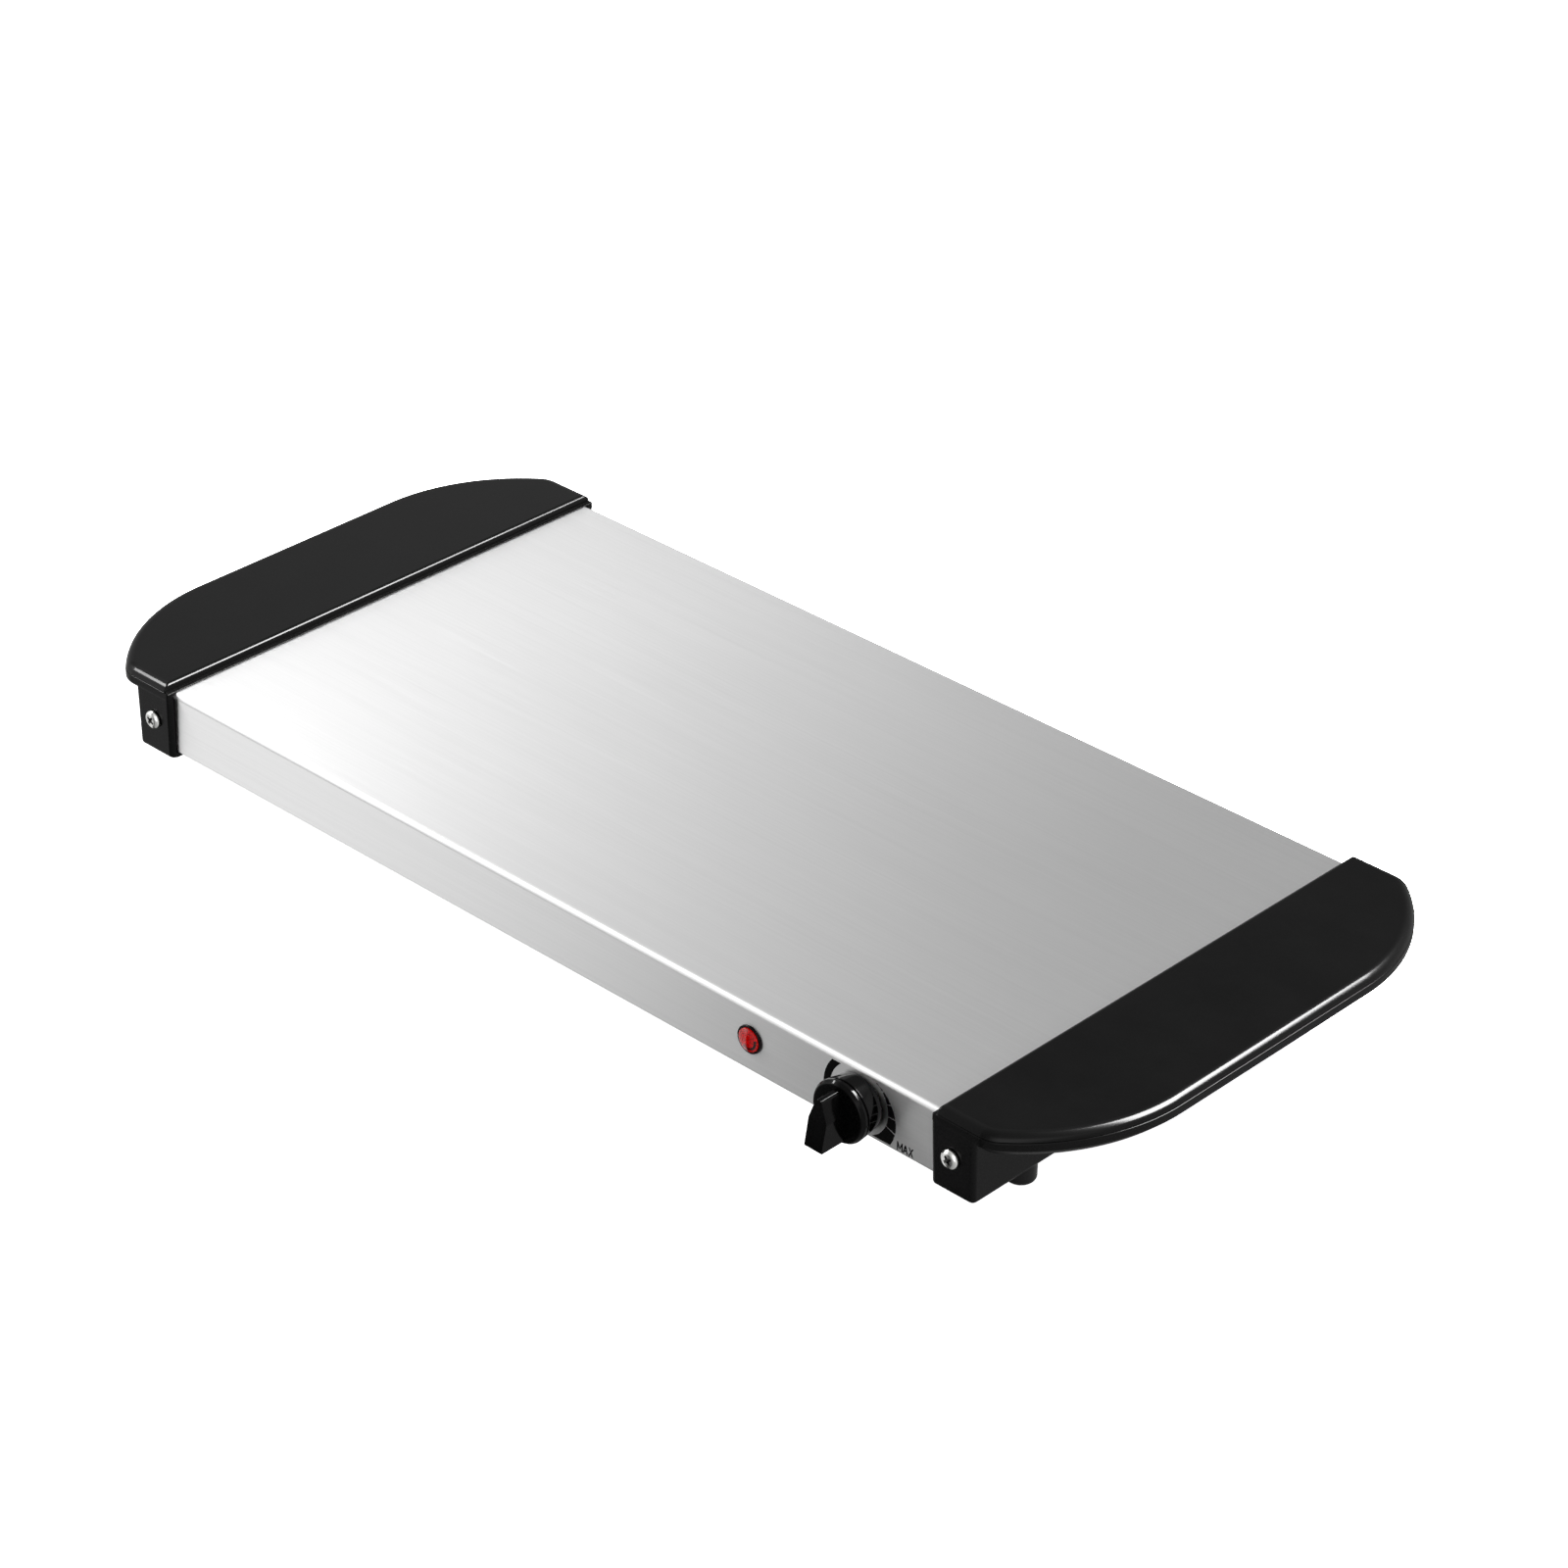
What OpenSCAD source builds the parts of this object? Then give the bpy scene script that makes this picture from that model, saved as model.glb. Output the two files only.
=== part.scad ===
// Electric food warming tray: a folded steel hot plate between two moulded
// handles, with a thermostat knob and a red pilot lamp in the front wall.
// Millimetres. +X runs along the plate to the knob end, +Y to the back, +Z up.
// The origin is the middle of the tray's footprint, on the table it stands on.

/* [Hot plate] */
// Length of steel that shows between the handles
plate_len = 500; // [480:1:540]
// Depth of the steel cover, front wall to back wall
plate_dep = 279.4; // [270:0.1:300]
// Height of the plate's top face above the table
top_h = 46; // [45:0.5:50]
// Height of the cover's front and back walls
wall_h = 33.1; // [33.1:0.1:34]
// Thickness of the cover sheet
sheet = 0.8; // [0.6:0.1:0.9]
// Outer radius of the fold along the top edges
fold_r = 2.6; // [1.5:0.1:3]

/* [Handles] */
// How far each handle reaches out past the steel
grip_reach = 70; // [66:1:80]
// How far the handles stand proud of the front and back walls
grip_proud = 4.0; // [3.8:0.1:5]
// Radius of the large round shoulder of each handle
shoulder_r = 98; // [94:1:102]
// Distance from the middle line to where the shoulder begins
shoulder_y = 64.5; // [62:0.5:68]
// Radius of the small corner next to each leg
corner_r = 14; // [10:1:18]
// Height of the handle's top face above the steel
cap_h = 4.57; // [4.2:0.01:5.2]
// Width of each leg, along the plate
leg_w = 22.65; // [22:0.05:25]

/* [Feet] */
// Radius of a foot
foot_r = 7.3; // [6.5:0.1:8]
// Distance of the feet from the middle, along the plate
foot_x = 264.4; // [264:0.1:265]
// Distance of the feet from the middle, front to back
foot_y = 102.4; // [90:0.1:115]

/* [Controls] */
// Knob axis, measured along the plate
knob_x = 204.2; // [190:0.1:215]
// Knob axis below the plate's top face
knob_z = 16.6; // [16.2:0.1:17]
// Radius of the knob's widest part
knob_r = 15.3; // [14.4:0.1:15.4]
// Pilot lamp axis, measured along the plate
lamp_x = 139; // [125:0.5:145]
// Pilot lamp axis below the plate's top face
lamp_z = 16.3; // [15:0.1:18]
// Radius of the lamp's lens
lens_r = 7; // [6.4:0.1:7.4]

/* [Cord outlet] */
// Position of the cord bush along the back wall
gland_x = 204; // [190:1:215]
// Radius of the bore the cord passes through
gland_bore = 3.6; // [3:0.1:4]

/* [Hidden] */
hx = plate_len / 2;
hy = plate_dep / 2;
yh = hy + grip_proud;               // handle half depth
xo = hx + grip_reach;               // handle half length
wall_in = 19.6;                     // from the shown steel edge to the end wall's inner face
knob_out = 29.1;                    // knob reach in front of the wall
head_h = 2.3;                       // pan head height of the leg screws
cy = (hy + knob_out - yh - head_h) / 2;  // middle of the plate in this frame
part_z = 0.85;                      // joint line of cap and shell above the steel
leg_z = 35.86;                      // leg bottoms below the steel's top face
scr_x = hx + 10;                    // leg screws along the plate
scr_z = 17.4;                       // leg screws below the top face
bar_x = [-175, -55, 65];            // heater clamp bars
cap_scr = [[hx + 46, 0], [hx + 40, 76], [hx + 40, -76]];
$fn = 64;

// ---------- helpers ----------

// the tray's own axes: middle of the plate's top face
module tray() translate([0, cy, top_h]) children();

// looking at the front wall: x right, y up, z out of the wall towards the user
module on_front(x, z, out = 0) translate([x, -hy - out, -z]) rotate([90, 0, 0]) children();

// looking at the back wall: z out of the wall
module on_back(x, z, out = 0) translate([x, hy + out, -z]) rotate([-90, 0, 0]) children();

module both_ends() { children(); mirror([1, 0, 0]) children(); }

module at_feet() for (x = [-foot_x, foot_x], y = [-foot_y, foot_y]) translate([x, y, -top_h]) children();

module at_leg_screws() {
    for (x = [-scr_x, scr_x]) {
        on_front(x, scr_z, grip_proud) children();
        on_back(x, scr_z, grip_proud) children();
    }
}

function arc(cx, cyy, r, a0, a1, n) =
    [for (i = [0 : n]) let (a = a0 + (a1 - a0) * i / n) [cx + r * cos(a), cyy + r * sin(a)]];

// outline of the right handle, drawn in by ins on its outer side and by inn on its inner side
function grip(ins, inn = 0) = let (
        sx = xo - shoulder_r,
        c2y = yh - corner_r,
        c2x = sx + sqrt(pow(shoulder_r - corner_r, 2) - pow(c2y - shoulder_y, 2)),
        th = atan2(c2y - shoulder_y, c2x - sx))
    concat([[hx + inn, -(yh - ins)]],
        arc(c2x, -c2y, corner_r - ins, -90, -th, 7),
        arc(sx, -shoulder_y, shoulder_r - ins, -th + 4, 0, 14),
        arc(sx, shoulder_y, shoulder_r - ins, 0, th - 4, 14),
        arc(c2x, c2y, corner_r - ins, th, 90, 7),
        [[hx + inn, yh - ins]]);

// solid skinned over outlines of equal length, from the bottom up: rows of [outline, height]
module loft(rows) {
    n = len(rows[0][0]);
    m = len(rows);
    pts = [for (r = rows) for (p = r[0]) [p[0], p[1], r[1]]];
    sides = [for (j = [0 : m - 2]) for (i = [0 : n - 1]) let (k = (i + 1) % n)
        [j * n + i, (j + 1) * n + i, (j + 1) * n + k, j * n + k]];
    polyhedron(pts, concat(sides, [[for (i = [0 : n - 1]) i]],
        [[for (i = [n - 1 : -1 : 0]) (m - 1) * n + i]]));
}

// screw along -z, its head above z = 0
module pan_screw(head_r, hh, shank_r, length) {
    rotate_extrude() polygon(concat(
        [[0, -length], [shank_r, -length], [shank_r, 0], [head_r, 0]],
        [for (a = [0 : 15 : 75]) [head_r * (0.6 + 0.4 * cos(a)), hh * (0.3 + 0.7 * sin(a))]],
        [[head_r * 0.55, hh], [0, hh]]));
}

// smooth line through points
function cr(p0, p1, p2, p3, t) = 0.5 * ((2 * p1) + (p2 - p0) * t
    + (2 * p0 - 5 * p1 + 4 * p2 - p3) * t * t + (3 * p1 - p0 - 3 * p2 + p3) * t * t * t);
function path(p, k) = let (n = len(p)) concat(
    [for (i = [0 : n - 2]) for (j = [0 : k - 1])
        cr(p[max(0, i - 1)], p[i], p[i + 1], p[min(n - 1, i + 2)], j / k)], [p[n - 1]]);
function unit(v) = v / norm(v);
function tangent(q, i) = unit(q[min(len(q) - 1, i + 1)] - q[max(0, i - 1)]);
function side(q, i, s) = i == 0
    ? let (t = tangent(q, 0)) unit(cross(t, abs(t[2]) < 0.9 ? [0, 0, 1] : [1, 0, 0]))
    : let (t = tangent(q, i)) unit(s - (s * t) * t);
function sides(q, i = 0, s = [0, 0, 0], acc = []) = i == len(q) ? acc :
    let (w = side(q, i, s)) sides(q, i + 1, w, concat(acc, [w]));

// wire of radius r through points
module wire(p, r, k = 4) {
    q = path(p, k);
    s = sides(q);
    n = 8;
    m = len(q);
    pts = [for (i = [0 : m - 1]) let (t = tangent(q, i), u = s[i], v = cross(t, u))
        for (j = [0 : n - 1]) q[i] + r * (cos(j * 45) * u + sin(j * 45) * v)];
    polyhedron(pts, concat(
        [for (i = [0 : m - 2]) for (j = [0 : n - 1]) let (k2 = (j + 1) % n)
            [i * n + j, (i + 1) * n + j, (i + 1) * n + k2, i * n + k2]],
        [[for (j = [0 : n - 1]) j]], [[for (j = [n - 1 : -1 : 0]) (m - 1) * n + j]]));
}

// ---------- cover and base ----------

// section across the folded sheet, its top face set down by drop
module cover_section(drop = 0) {
    ri = fold_r - sheet;
    h = wall_h - drop;
    translate([0, -drop]) difference() {
        union() {
            translate([-hy + fold_r, -h]) square([plate_dep - 2 * fold_r, h]);
            translate([-hy, -h]) square([plate_dep, h - fold_r]);
            for (s = [-1, 1]) translate([s * (hy - fold_r), -fold_r]) circle(r = fold_r);
        }
        translate([-hy + fold_r, -h + sheet]) square([plate_dep - 2 * fold_r, h - 2 * sheet]);
        translate([-hy + sheet, -h + sheet]) square([plate_dep - 2 * sheet, h - sheet - fold_r]);
        for (s = [-1, 1]) translate([s * (hy - fold_r), -fold_r]) circle(r = ri);
        translate([-hy + 11, -h - 1]) square([plate_dep - 22, 3]);
    }
}

base_scr = [for (x = [-225, -75, 75, 225], y = [-hy + 6.5, hy - 6.5]) [x, y]];

module top_cover() tray() color([0.78, 0.78, 0.77]) difference() {
    union() {
        translate([-hx + 0.1, 0, 0]) rotate([90, 0, 90]) linear_extrude(plate_len - 0.2) cover_section();
        // ends that slip under the handles, stepped down
        both_ends() translate([hx - 0.1, 0, 0]) rotate([90, 0, 90]) linear_extrude(16.1) cover_section(0.3);
    }
    on_front(knob_x, knob_z, 1) translate([0, 0, -4]) cylinder(r = 5.05, h = 6);
    on_front(lamp_x, lamp_z, 1) translate([0, 0, -4]) cylinder(r = 5.5, h = 6);
    on_back(gland_x, knob_z, 1) translate([0, 0, -4]) cylinder(r = 6.05, h = 6);
    at_leg_screws() translate([0, 0, -9]) cylinder(r = 2, h = 8);
    for (p = base_scr) translate([p[0], p[1], -wall_h - 1]) cylinder(r = 1.5, h = 3);
}

module base_plate() tray() color([0.62, 0.63, 0.64]) difference() {
    translate([-hx + 1, -hy + 3, -wall_h - 0.8]) cube([plate_len - 2, plate_dep - 6, 0.8]);
    for (p = base_scr) translate([p[0], p[1], -wall_h - 2]) cylinder(r = 1.6, h = 3);
    for (x = [-200, -160, 130, 170, 210], y = [-80, -40, 0, 40, 80])
        if (abs(x) > 120 && !(x == 170 && y > 30)) translate([x - 1.5, y - 12, -wall_h - 2]) cube([3, 24, 3]);
    // earth screw
    translate([232, 60, -wall_h - 2]) cylinder(r = 1.6, h = 3);
}

module base_screws() tray() color([0.75, 0.75, 0.73])
    for (p = base_scr) translate([p[0], p[1], -wall_h - 0.8]) mirror([0, 0, 1]) pan_screw(2.9, 1.7, 1.5, 6);

// ---------- handles ----------

module one_cap() difference() {
    union() {
        difference() {
            loft([[grip(0.2, 0.6), part_z], [grip(0.5, 0.6), 1.6], [grip(0.93, 0.7), 2.35],
                [grip(1.6, 0.9), 3.1], [grip(2.46, 1.3), 3.8], [grip(3.6, 1.8), 4.3], [grip(5.17, 2.6), cap_h]]);
            translate([0, 0, part_z - 1]) linear_extrude(2.35) polygon(grip(3.2, 3.2));
        }
        for (p = cap_scr) translate([p[0], p[1], -5.6]) cylinder(r = 3.4, h = 8.2);
        // stiffening ribs under the top
        for (y = [-112, -38, 38, 112]) translate([hx + 3, y - 0.8, part_z]) cube([44, 1.6, 1.6]);
    }
    for (p = cap_scr) translate([p[0], p[1], -6]) cylinder(r = 1.5, h = 7);
}

module one_shell() {
    difference() {
        union() {
            loft([[grip(6.4), -8], [grip(4.3), -7.5], [grip(2.3), -5.5], [grip(0.7), -4.1],
                [grip(0), -3], [grip(0), -0.6], [grip(0.2), part_z]]);
            translate([hx, -yh, -leg_z]) cube([leg_w, 2 * yh, leg_z - 2]);
        }
        // room for the end of the steel cover
        translate([hx - 10, -hy - 0.2, -wall_h - 0.2]) cube([wall_in + 10, plate_dep + 0.4, wall_h + 0.25]);
        // hollow grip
        translate([0, 0, -5.6]) linear_extrude(10) intersection() {
            polygon(grip(3));
            translate([hx + leg_w, -yh]) square([100, 2 * yh]);
        }
        // open inner edge of the floor, clear of the base plate
        translate([hx - 1, -hy + 12, -leg_z - 1]) cube([2.5, plate_dep - 24, 4]);
        for (y = [-1, 1]) translate([scr_x, y * hy, -scr_z]) rotate([90, 0, 0]) cylinder(r = 2.1, h = 20, center = true);
        for (p = cap_scr) translate([p[0], p[1], -9]) {
            cylinder(r = 1.7, h = 6);
            cylinder(r = 3.4, h = 2.2);
        }
        for (y = [-foot_y, foot_y]) translate([foot_x, y, -leg_z - 1]) cylinder(r = 1.7, h = 6);
    }
    // screw posts over the feet
    for (y = [-foot_y, foot_y]) translate([foot_x, y, -leg_z + 2]) difference() {
        cylinder(r = 4, h = 7);
        translate([0, 0, -1]) cylinder(r = 1.7, h = 9);
    }
}

module right_handle_cap() tray() color([0.09, 0.09, 0.09]) one_cap();
module left_handle_cap() tray() color([0.09, 0.09, 0.09]) mirror([1, 0, 0]) one_cap();
module right_handle_shell() tray() color([0.07, 0.07, 0.07]) one_shell();
module left_handle_shell() tray() color([0.07, 0.07, 0.07]) mirror([1, 0, 0]) one_shell();

module cap_screws() tray() color([0.75, 0.75, 0.73]) both_ends()
    for (p = cap_scr) translate([p[0], p[1], -6.8]) mirror([0, 0, 1]) pan_screw(3, 1.8, 1.5, 6.8);

module handle_screws() tray() color([0.8, 0.8, 0.78]) at_leg_screws() pan_screw(4.7, head_h, 1.9, 13);

module clinch_nuts() tray() color([0.75, 0.75, 0.73]) at_leg_screws()
    translate([0, 0, -grip_proud - sheet - 4]) difference() {
        cylinder(r = 4, h = 4);
        translate([0, 0, -1]) cylinder(r = 1.9, h = 6);
    }

// ---------- feet ----------

module feet() tray() color([0.05, 0.05, 0.05]) at_feet() rotate_extrude() difference() {
    union() {
        translate([0, 2.4]) square([foot_r, top_h - leg_z - 2.4]);
        square([foot_r - 2.4, 4]);
        translate([foot_r - 2.4, 2.4]) circle(r = 2.4);
    }
    translate([0, -1]) square([3.5, 4.2]);
    translate([0, -1]) square([1.8, 20]);
    translate([-20, -1]) square([20, 30]);
}

module foot_screws() tray() color([0.75, 0.75, 0.73]) at_feet() translate([0, 0, 3.2]) mirror([0, 0, 1])
    pan_screw(3.2, 2, 1.7, 14);

// ---------- knob and thermostat ----------

module knob() tray() color([0.04, 0.04, 0.045]) on_front(knob_x, knob_z) difference() {
    union() {
        rotate_extrude() polygon([[0, 1], [13.7, 1], [13.9, 2], [knob_r - 0.3, 9.6], [knob_r - 0.6, 10.3],
            [knob_r - 1.1, 10.5], [knob_r - 1.1, 11.1], [knob_r - 0.2, 11.3], [knob_r, 11.8], [knob_r - 0.3, 13.4],
            [knob_r - 0.7, 14], [knob_r - 1.2, 14.3], [0, 14.3]]);
        intersection() {
            translate([0, 0, 12]) linear_extrude(20)
                polygon([[-1.1, 12.3], [1.1, 12.3], [1.9, 11.6], [5.2, 2], [5.1, -11.6], [4.6, -12.2],
                    [-4.6, -12.2], [-5.1, -11.6], [-5.2, 2], [-1.9, 11.6]]);
            translate([-20, 0, 0]) rotate([90, 0, 90]) linear_extrude(40)
                polygon([[-13, 5], [13, 5], [13, 25.9], [2, 26.5], [-11.4, knob_out], [-12.4, 28.2]]);
        }
    }
    // hollow back, around the hub
    translate([0, 0, 0]) cylinder(r = 11.3, h = 5.4);
    difference() {
        cylinder(r = 11.3, h = 9);
        cylinder(r = 5.4, h = 10);
    }
    // shaft bore with its flat
    difference() {
        cylinder(r = 3.03, h = 17);
        translate([-4, 1.53, 4]) cube([8, 4, 20]);
    }
}

module knob_clip() tray() color([0.7, 0.7, 0.68]) on_front(knob_x, knob_z, 6.2) difference() {
    cylinder(r = 6.1, h = 2);
    translate([0, 0, -1]) cylinder(r = 5.4, h = 4);
    translate([-2, 0, -1]) cube([4, 10, 4]);
}

module thermostat_shaft() tray() color([0.72, 0.72, 0.7]) on_front(knob_x, knob_z) difference() {
    translate([0, 0, -8.2]) cylinder(r = 3, h = 24.4);
    translate([-4, 1.5, 5]) cube([8, 4, 20]);
    translate([0, 0, -7.6]) difference() {
        cylinder(r = 4, h = 0.6);
        translate([0, 0, -1]) cylinder(r = 2.5, h = 3);
    }
}

module shaft_clip() tray() color([0.6, 0.6, 0.58]) on_front(knob_x, knob_z, -7.6) difference() {
    cylinder(r = 4.4, h = 0.6);
    translate([0, 0, -1]) cylinder(r = 2.5, h = 3);
    translate([-2, 0, -1]) cube([4, 10, 4]);
}

module adjuster_pin() tray() color([0.93, 0.92, 0.88]) on_front(knob_x, knob_z, -8.2)
    translate([0, 0, -2.4]) cylinder(r = 1.3, h = 2.4);

module thermostat_bracket() tray() color([0.72, 0.72, 0.7]) on_front(knob_x, knob_z) difference() {
    union() {
        translate([-33, -9, -sheet - 1]) cube([44, 18, 1]);
        translate([0, 0, -6.6]) cylinder(r = 5, h = 11);
        translate([-33, -9, -sheet - 8]) cube([1, 18, 8]);
    }
    translate([0, 0, -12]) cylinder(r = 3.04, h = 30);
    translate([-25.2, 0, -5]) cylinder(r = 1.5, h = 10);
}

module thermostat_nut() tray() color([0.78, 0.76, 0.68]) on_front(knob_x, knob_z) difference() {
    cylinder(r = 8, h = 2.6, $fn = 6);
    translate([0, 0, -1]) cylinder(r = 5, h = 6);
}

// stack of blades on one rivet: each at a height behind the bracket
stack_x = knob_x - 25.2;
module in_stack(out) on_front(stack_x, knob_z, -sheet - 1 - out) children();

module ceramic_spacers() tray() color([0.93, 0.92, 0.88])
    for (s = [[9.8, 9.8], [13.2, 3], [16.8, 3], [20.6, 3]])
        in_stack(s[0]) difference() {
            cylinder(r = 5, h = s[1]);
            translate([0, 0, -1]) cylinder(r = 1.55, h = 14);
        }

module stack_rivet() tray() color([0.75, 0.7, 0.5]) {
    in_stack(20.6) cylinder(r = 1.5, h = 21.6);
    in_stack(21.8) cylinder(r = 3, h = 1.2);
}

// strip along x from x0 to x1, clamped in the stack between depths d0 and d1
module blade(x0, x1, w, d0, d1) in_stack(d1) difference() {
    translate([x0, -w / 2, 0]) cube([x1 - x0, w, d1 - d0]);
    translate([0, 0, -1]) cylinder(r = 1.55, h = 4);
}

module blade_terminal() tray() color([0.8, 0.62, 0.32]) blade(-17, 5.6, 6.3, 9.8, 10.2);

module moving_contact_blade() tray() color([0.8, 0.62, 0.32]) {
    in_stack(10.2) translate([6.2, -3, 0]) cube([31, 6, 0.4]);
    in_stack(11.2) translate([34, 0, 0]) cylinder(r = 1.8, h = 1);
}

module fixed_contact_blade() tray() color([0.8, 0.62, 0.32]) {
    blade(-17, 37, 6.3, 13.2, 13.8);
    in_stack(13.2) translate([34, 0, 0]) cylinder(r = 1.8, h = 1.3);
}

module bimetal_strip() tray() color([0.65, 0.64, 0.6]) blade(-6, 38, 8, 16.8, 17.6);

// ---------- pilot lamp ----------

module indicator_lens() tray() color([0.75, 0.04, 0.04, 0.8]) on_front(lamp_x, lamp_z) rotate_extrude() difference() {
    union() {
        square([lens_r, 0.9]);
        translate([0, -11]) square([5.4, 11.9]);
        intersection() {
            translate([0, -9.4]) circle(r = 12.4, $fn = 96);
            square([lens_r - 0.5, 4]);
        }
    }
    translate([-1, -12]) square([5.3, 12.6]);
    translate([-20, -20]) square([20, 40]);
}

module lamp_holder() tray() color([0.9, 0.9, 0.88]) on_front(lamp_x, lamp_z) difference() {
    translate([0, 0, -18]) cylinder(r = 7, h = 17);
    translate([0, 0, -11]) cylinder(r = 5.4, h = 12);
    translate([0, 0, -16]) cylinder(r = 4.2, h = 8);
    for (s = [-2, 2]) translate([s, 0, -20]) cylinder(r = 0.9, h = 6);
}

module neon_bulb() tray() color([0.95, 0.6, 0.4, 0.5]) on_front(lamp_x, lamp_z) rotate_extrude() polygon(
    concat([[0, -14.5], [2.2, -14.5]], [for (a = [0 : 15 : 75]) [2.8 * cos(a), -4.4 + 2.8 * sin(a)]], [[0, -1.6]]));

module lamp_resistor() tray() color([0.75, 0.62, 0.4]) on_front(lamp_x - 2, lamp_z) {
    translate([0, 0, -27]) cylinder(r = 1.3, h = 6.5);
    translate([0, 0, -20.5]) cylinder(r = 0.4, h = 6);
}

// ---------- heater ----------

module heat_spreader() tray() color([0.8, 0.81, 0.82])
    translate([-hx + 14, -hy + 9.5, -sheet - 1.2]) cube([plate_len - 28, plate_dep - 19, 1.2]);

module slab(x0, x1, w, z, t) translate([x0, -w, z - t]) cube([x1 - x0, 2 * w, t]);

module upper_mica_sheet() tray() color([0.72, 0.66, 0.5]) slab(-230, 118, 118, -2, 0.5);

runs = 18;
pitch = 12.2;
module heating_ribbon() tray() color([0.55, 0.53, 0.5]) translate([0, 0, -2.8]) linear_extrude(0.3) union() {
    for (i = [0 : runs - 1]) translate([-225, (i - (runs - 1) / 2) * pitch - 1.2]) square([337, 2.4]);
    for (i = [0 : runs - 2]) translate([i % 2 == 0 ? -227.4 : 109.6, (i - (runs - 1) / 2) * pitch - 1.2])
        square([2.4, pitch + 2.4]);
    // tails to the leads
    for (s = [-1, 1]) translate([110, s * (runs - 1) / 2 * pitch - 1.2]) square([16, 2.4]);
}

module mica_card() tray() color([0.7, 0.63, 0.47]) slab(-229, 115, 112, -2.8, 0.5);
module lower_mica_sheet() tray() color([0.72, 0.66, 0.5]) slab(-230, 117, 118, -3.3, 0.5);

module clamp_bars() tray() color([0.62, 0.63, 0.64]) for (x = bar_x) difference() {
    translate([x - 8, -130, -5]) cube([16, 260, 1.2]);
    for (y = [-125, 125]) translate([x, y, -6]) cylinder(r = 2.1, h = 4);
}

module clamp_studs() tray() color([0.75, 0.75, 0.73])
    for (x = bar_x, y = [-125, 125]) translate([x, y, -9.5]) cylinder(r = 2, h = 7.5);

module clamp_nuts() tray() color([0.78, 0.76, 0.68])
    for (x = bar_x, y = [-125, 125]) translate([x, y, -8.2]) difference() {
        cylinder(r = 4, h = 3.2, $fn = 6);
        translate([0, 0, -1]) cylinder(r = 2, h = 6);
    }

module insulation_blanket() tray() color([0.86, 0.84, 0.76]) translate([-228, -116, -wall_h]) cube([334, 232, wall_h - 5]);

module thermal_fuse() tray() color([0.8, 0.8, 0.78]) translate([150, 0, -5.6]) rotate([90, 0, 0]) {
    cylinder(r = 1.9, h = 11, center = true);
    cylinder(r = 0.5, h = 30, center = true);
}

module fuse_sleeve() tray() color([0.92, 0.9, 0.84]) translate([150, 0, -5.6]) rotate([90, 0, 0]) difference() {
    cylinder(r = 2.6, h = 22, center = true);
    cylinder(r = 1.95, h = 30, center = true);
}

module fuse_clip() tray() color([0.72, 0.72, 0.7]) difference() {
    union() {
        translate([150, 0, -5.6]) rotate([90, 0, 0]) cylinder(r = 3.2, h = 8, center = true);
        translate([150, -4, -2.6]) cube([12, 8, 0.6]);
        translate([146.8, -4, -5.6]) cube([6.4, 8, 3.6]);
    }
    translate([150, 0, -5.6]) rotate([90, 0, 0]) cylinder(r = 2.6, h = 10, center = true);
    translate([145, -5, -9.5]) cube([10, 10, 2.5]);
}

// ---------- wiring ----------

module terminal_block() tray() color([0.94, 0.94, 0.92]) translate([180, 70, -wall_h]) difference() {
    union() for (i = [-1, 0, 1]) translate([i * 11 - 5, -11, 0]) cube([10.6, 22, 14]);
    for (i = [-1, 0, 1]) translate([i * 11, 0, 6]) rotate([90, 0, 0]) cylinder(r = 2, h = 30, center = true);
    for (i = [-1, 0, 1], y = [-5, 5]) translate([i * 11, y, 6]) cylinder(r = 1.5, h = 10);
}

module terminal_screws() tray() color([0.8, 0.72, 0.45]) for (i = [-1, 0, 1], y = [-5, 5])
    translate([180 + i * 11, 70 + y, -wall_h + 8.4]) cylinder(r = 1.45, h = 4);

tz = -wall_h + 6;   // wire entry of the terminal block
tx = stack_x - 17;  // spade ends of the thermostat blades

module live_wire() tray() color([0.45, 0.25, 0.12])
    wire([[169, 66, tz], [169, 50, tz], [158, 20, -26], [150, -40, -26], [148.5, -90, -26],
        [150, -115, -25.5], [154, -126.5, -21.5], [158, -127.9, -17.4], [tx - 0.02, -127.9, -16.6]], 1.2);

module fuse_wire() tray() color([0.45, 0.25, 0.12])
    wire([[150, -15.05, -5.6], [150, -24, -6.4], [151, -50, -11], [151, -85, -14.5], [152, -105, -17],
        [156, -119, -18], [159, -124, -17.6], [tx - 0.02, -124.4, -17.4]], 1.0);

module heater_wire() tray() color([0.9, 0.88, 0.8])
    wire([[150, 15.05, -5.6], [150, 22, -6.6], [142, 34, -12], [132, 60, -11], [133, 88, -9],
        [131, 100, -5], [127, 103.7, -3.95], [120.5, 103.7, -3.95]], 1.0);

module neutral_wire() tray() color([0.15, 0.3, 0.65])
    wire([[179.1, 66, tz + 0.3], [179.1, 50, tz + 0.3], [172, 10, -28.6], [135, -40, -27], [132, -80, -18],
        [131, -98, -7], [127, -103.7, -3.95], [120.5, -103.7, -3.95]], 1.0);

module lamp_wires() tray() color([0.15, 0.3, 0.65]) {
    wire([[lamp_x - 2, -hy + 27.05, -lamp_z], [lamp_x - 2, -hy + 33, -lamp_z], [lamp_x, -94, -24],
        [lamp_x + 10, -66, -31.7], [lamp_x + 32, 8, -31.7], [181, 44, -30.2], [181.1, 54, tz - 0.3],
        [181.1, 64, tz - 0.2]], 0.8);
    wire([[lamp_x + 2, -hy + 15, -lamp_z], [lamp_x + 2, -hy + 18.5, -lamp_z], [lamp_x + 2, -hy + 22, -lamp_z],
        [146, -112, -12.5], [153, -116, -11], [158.5, -123.4, -13.8], [tx - 0.02, -124.4, -14.4]], 0.8);
}

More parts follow.
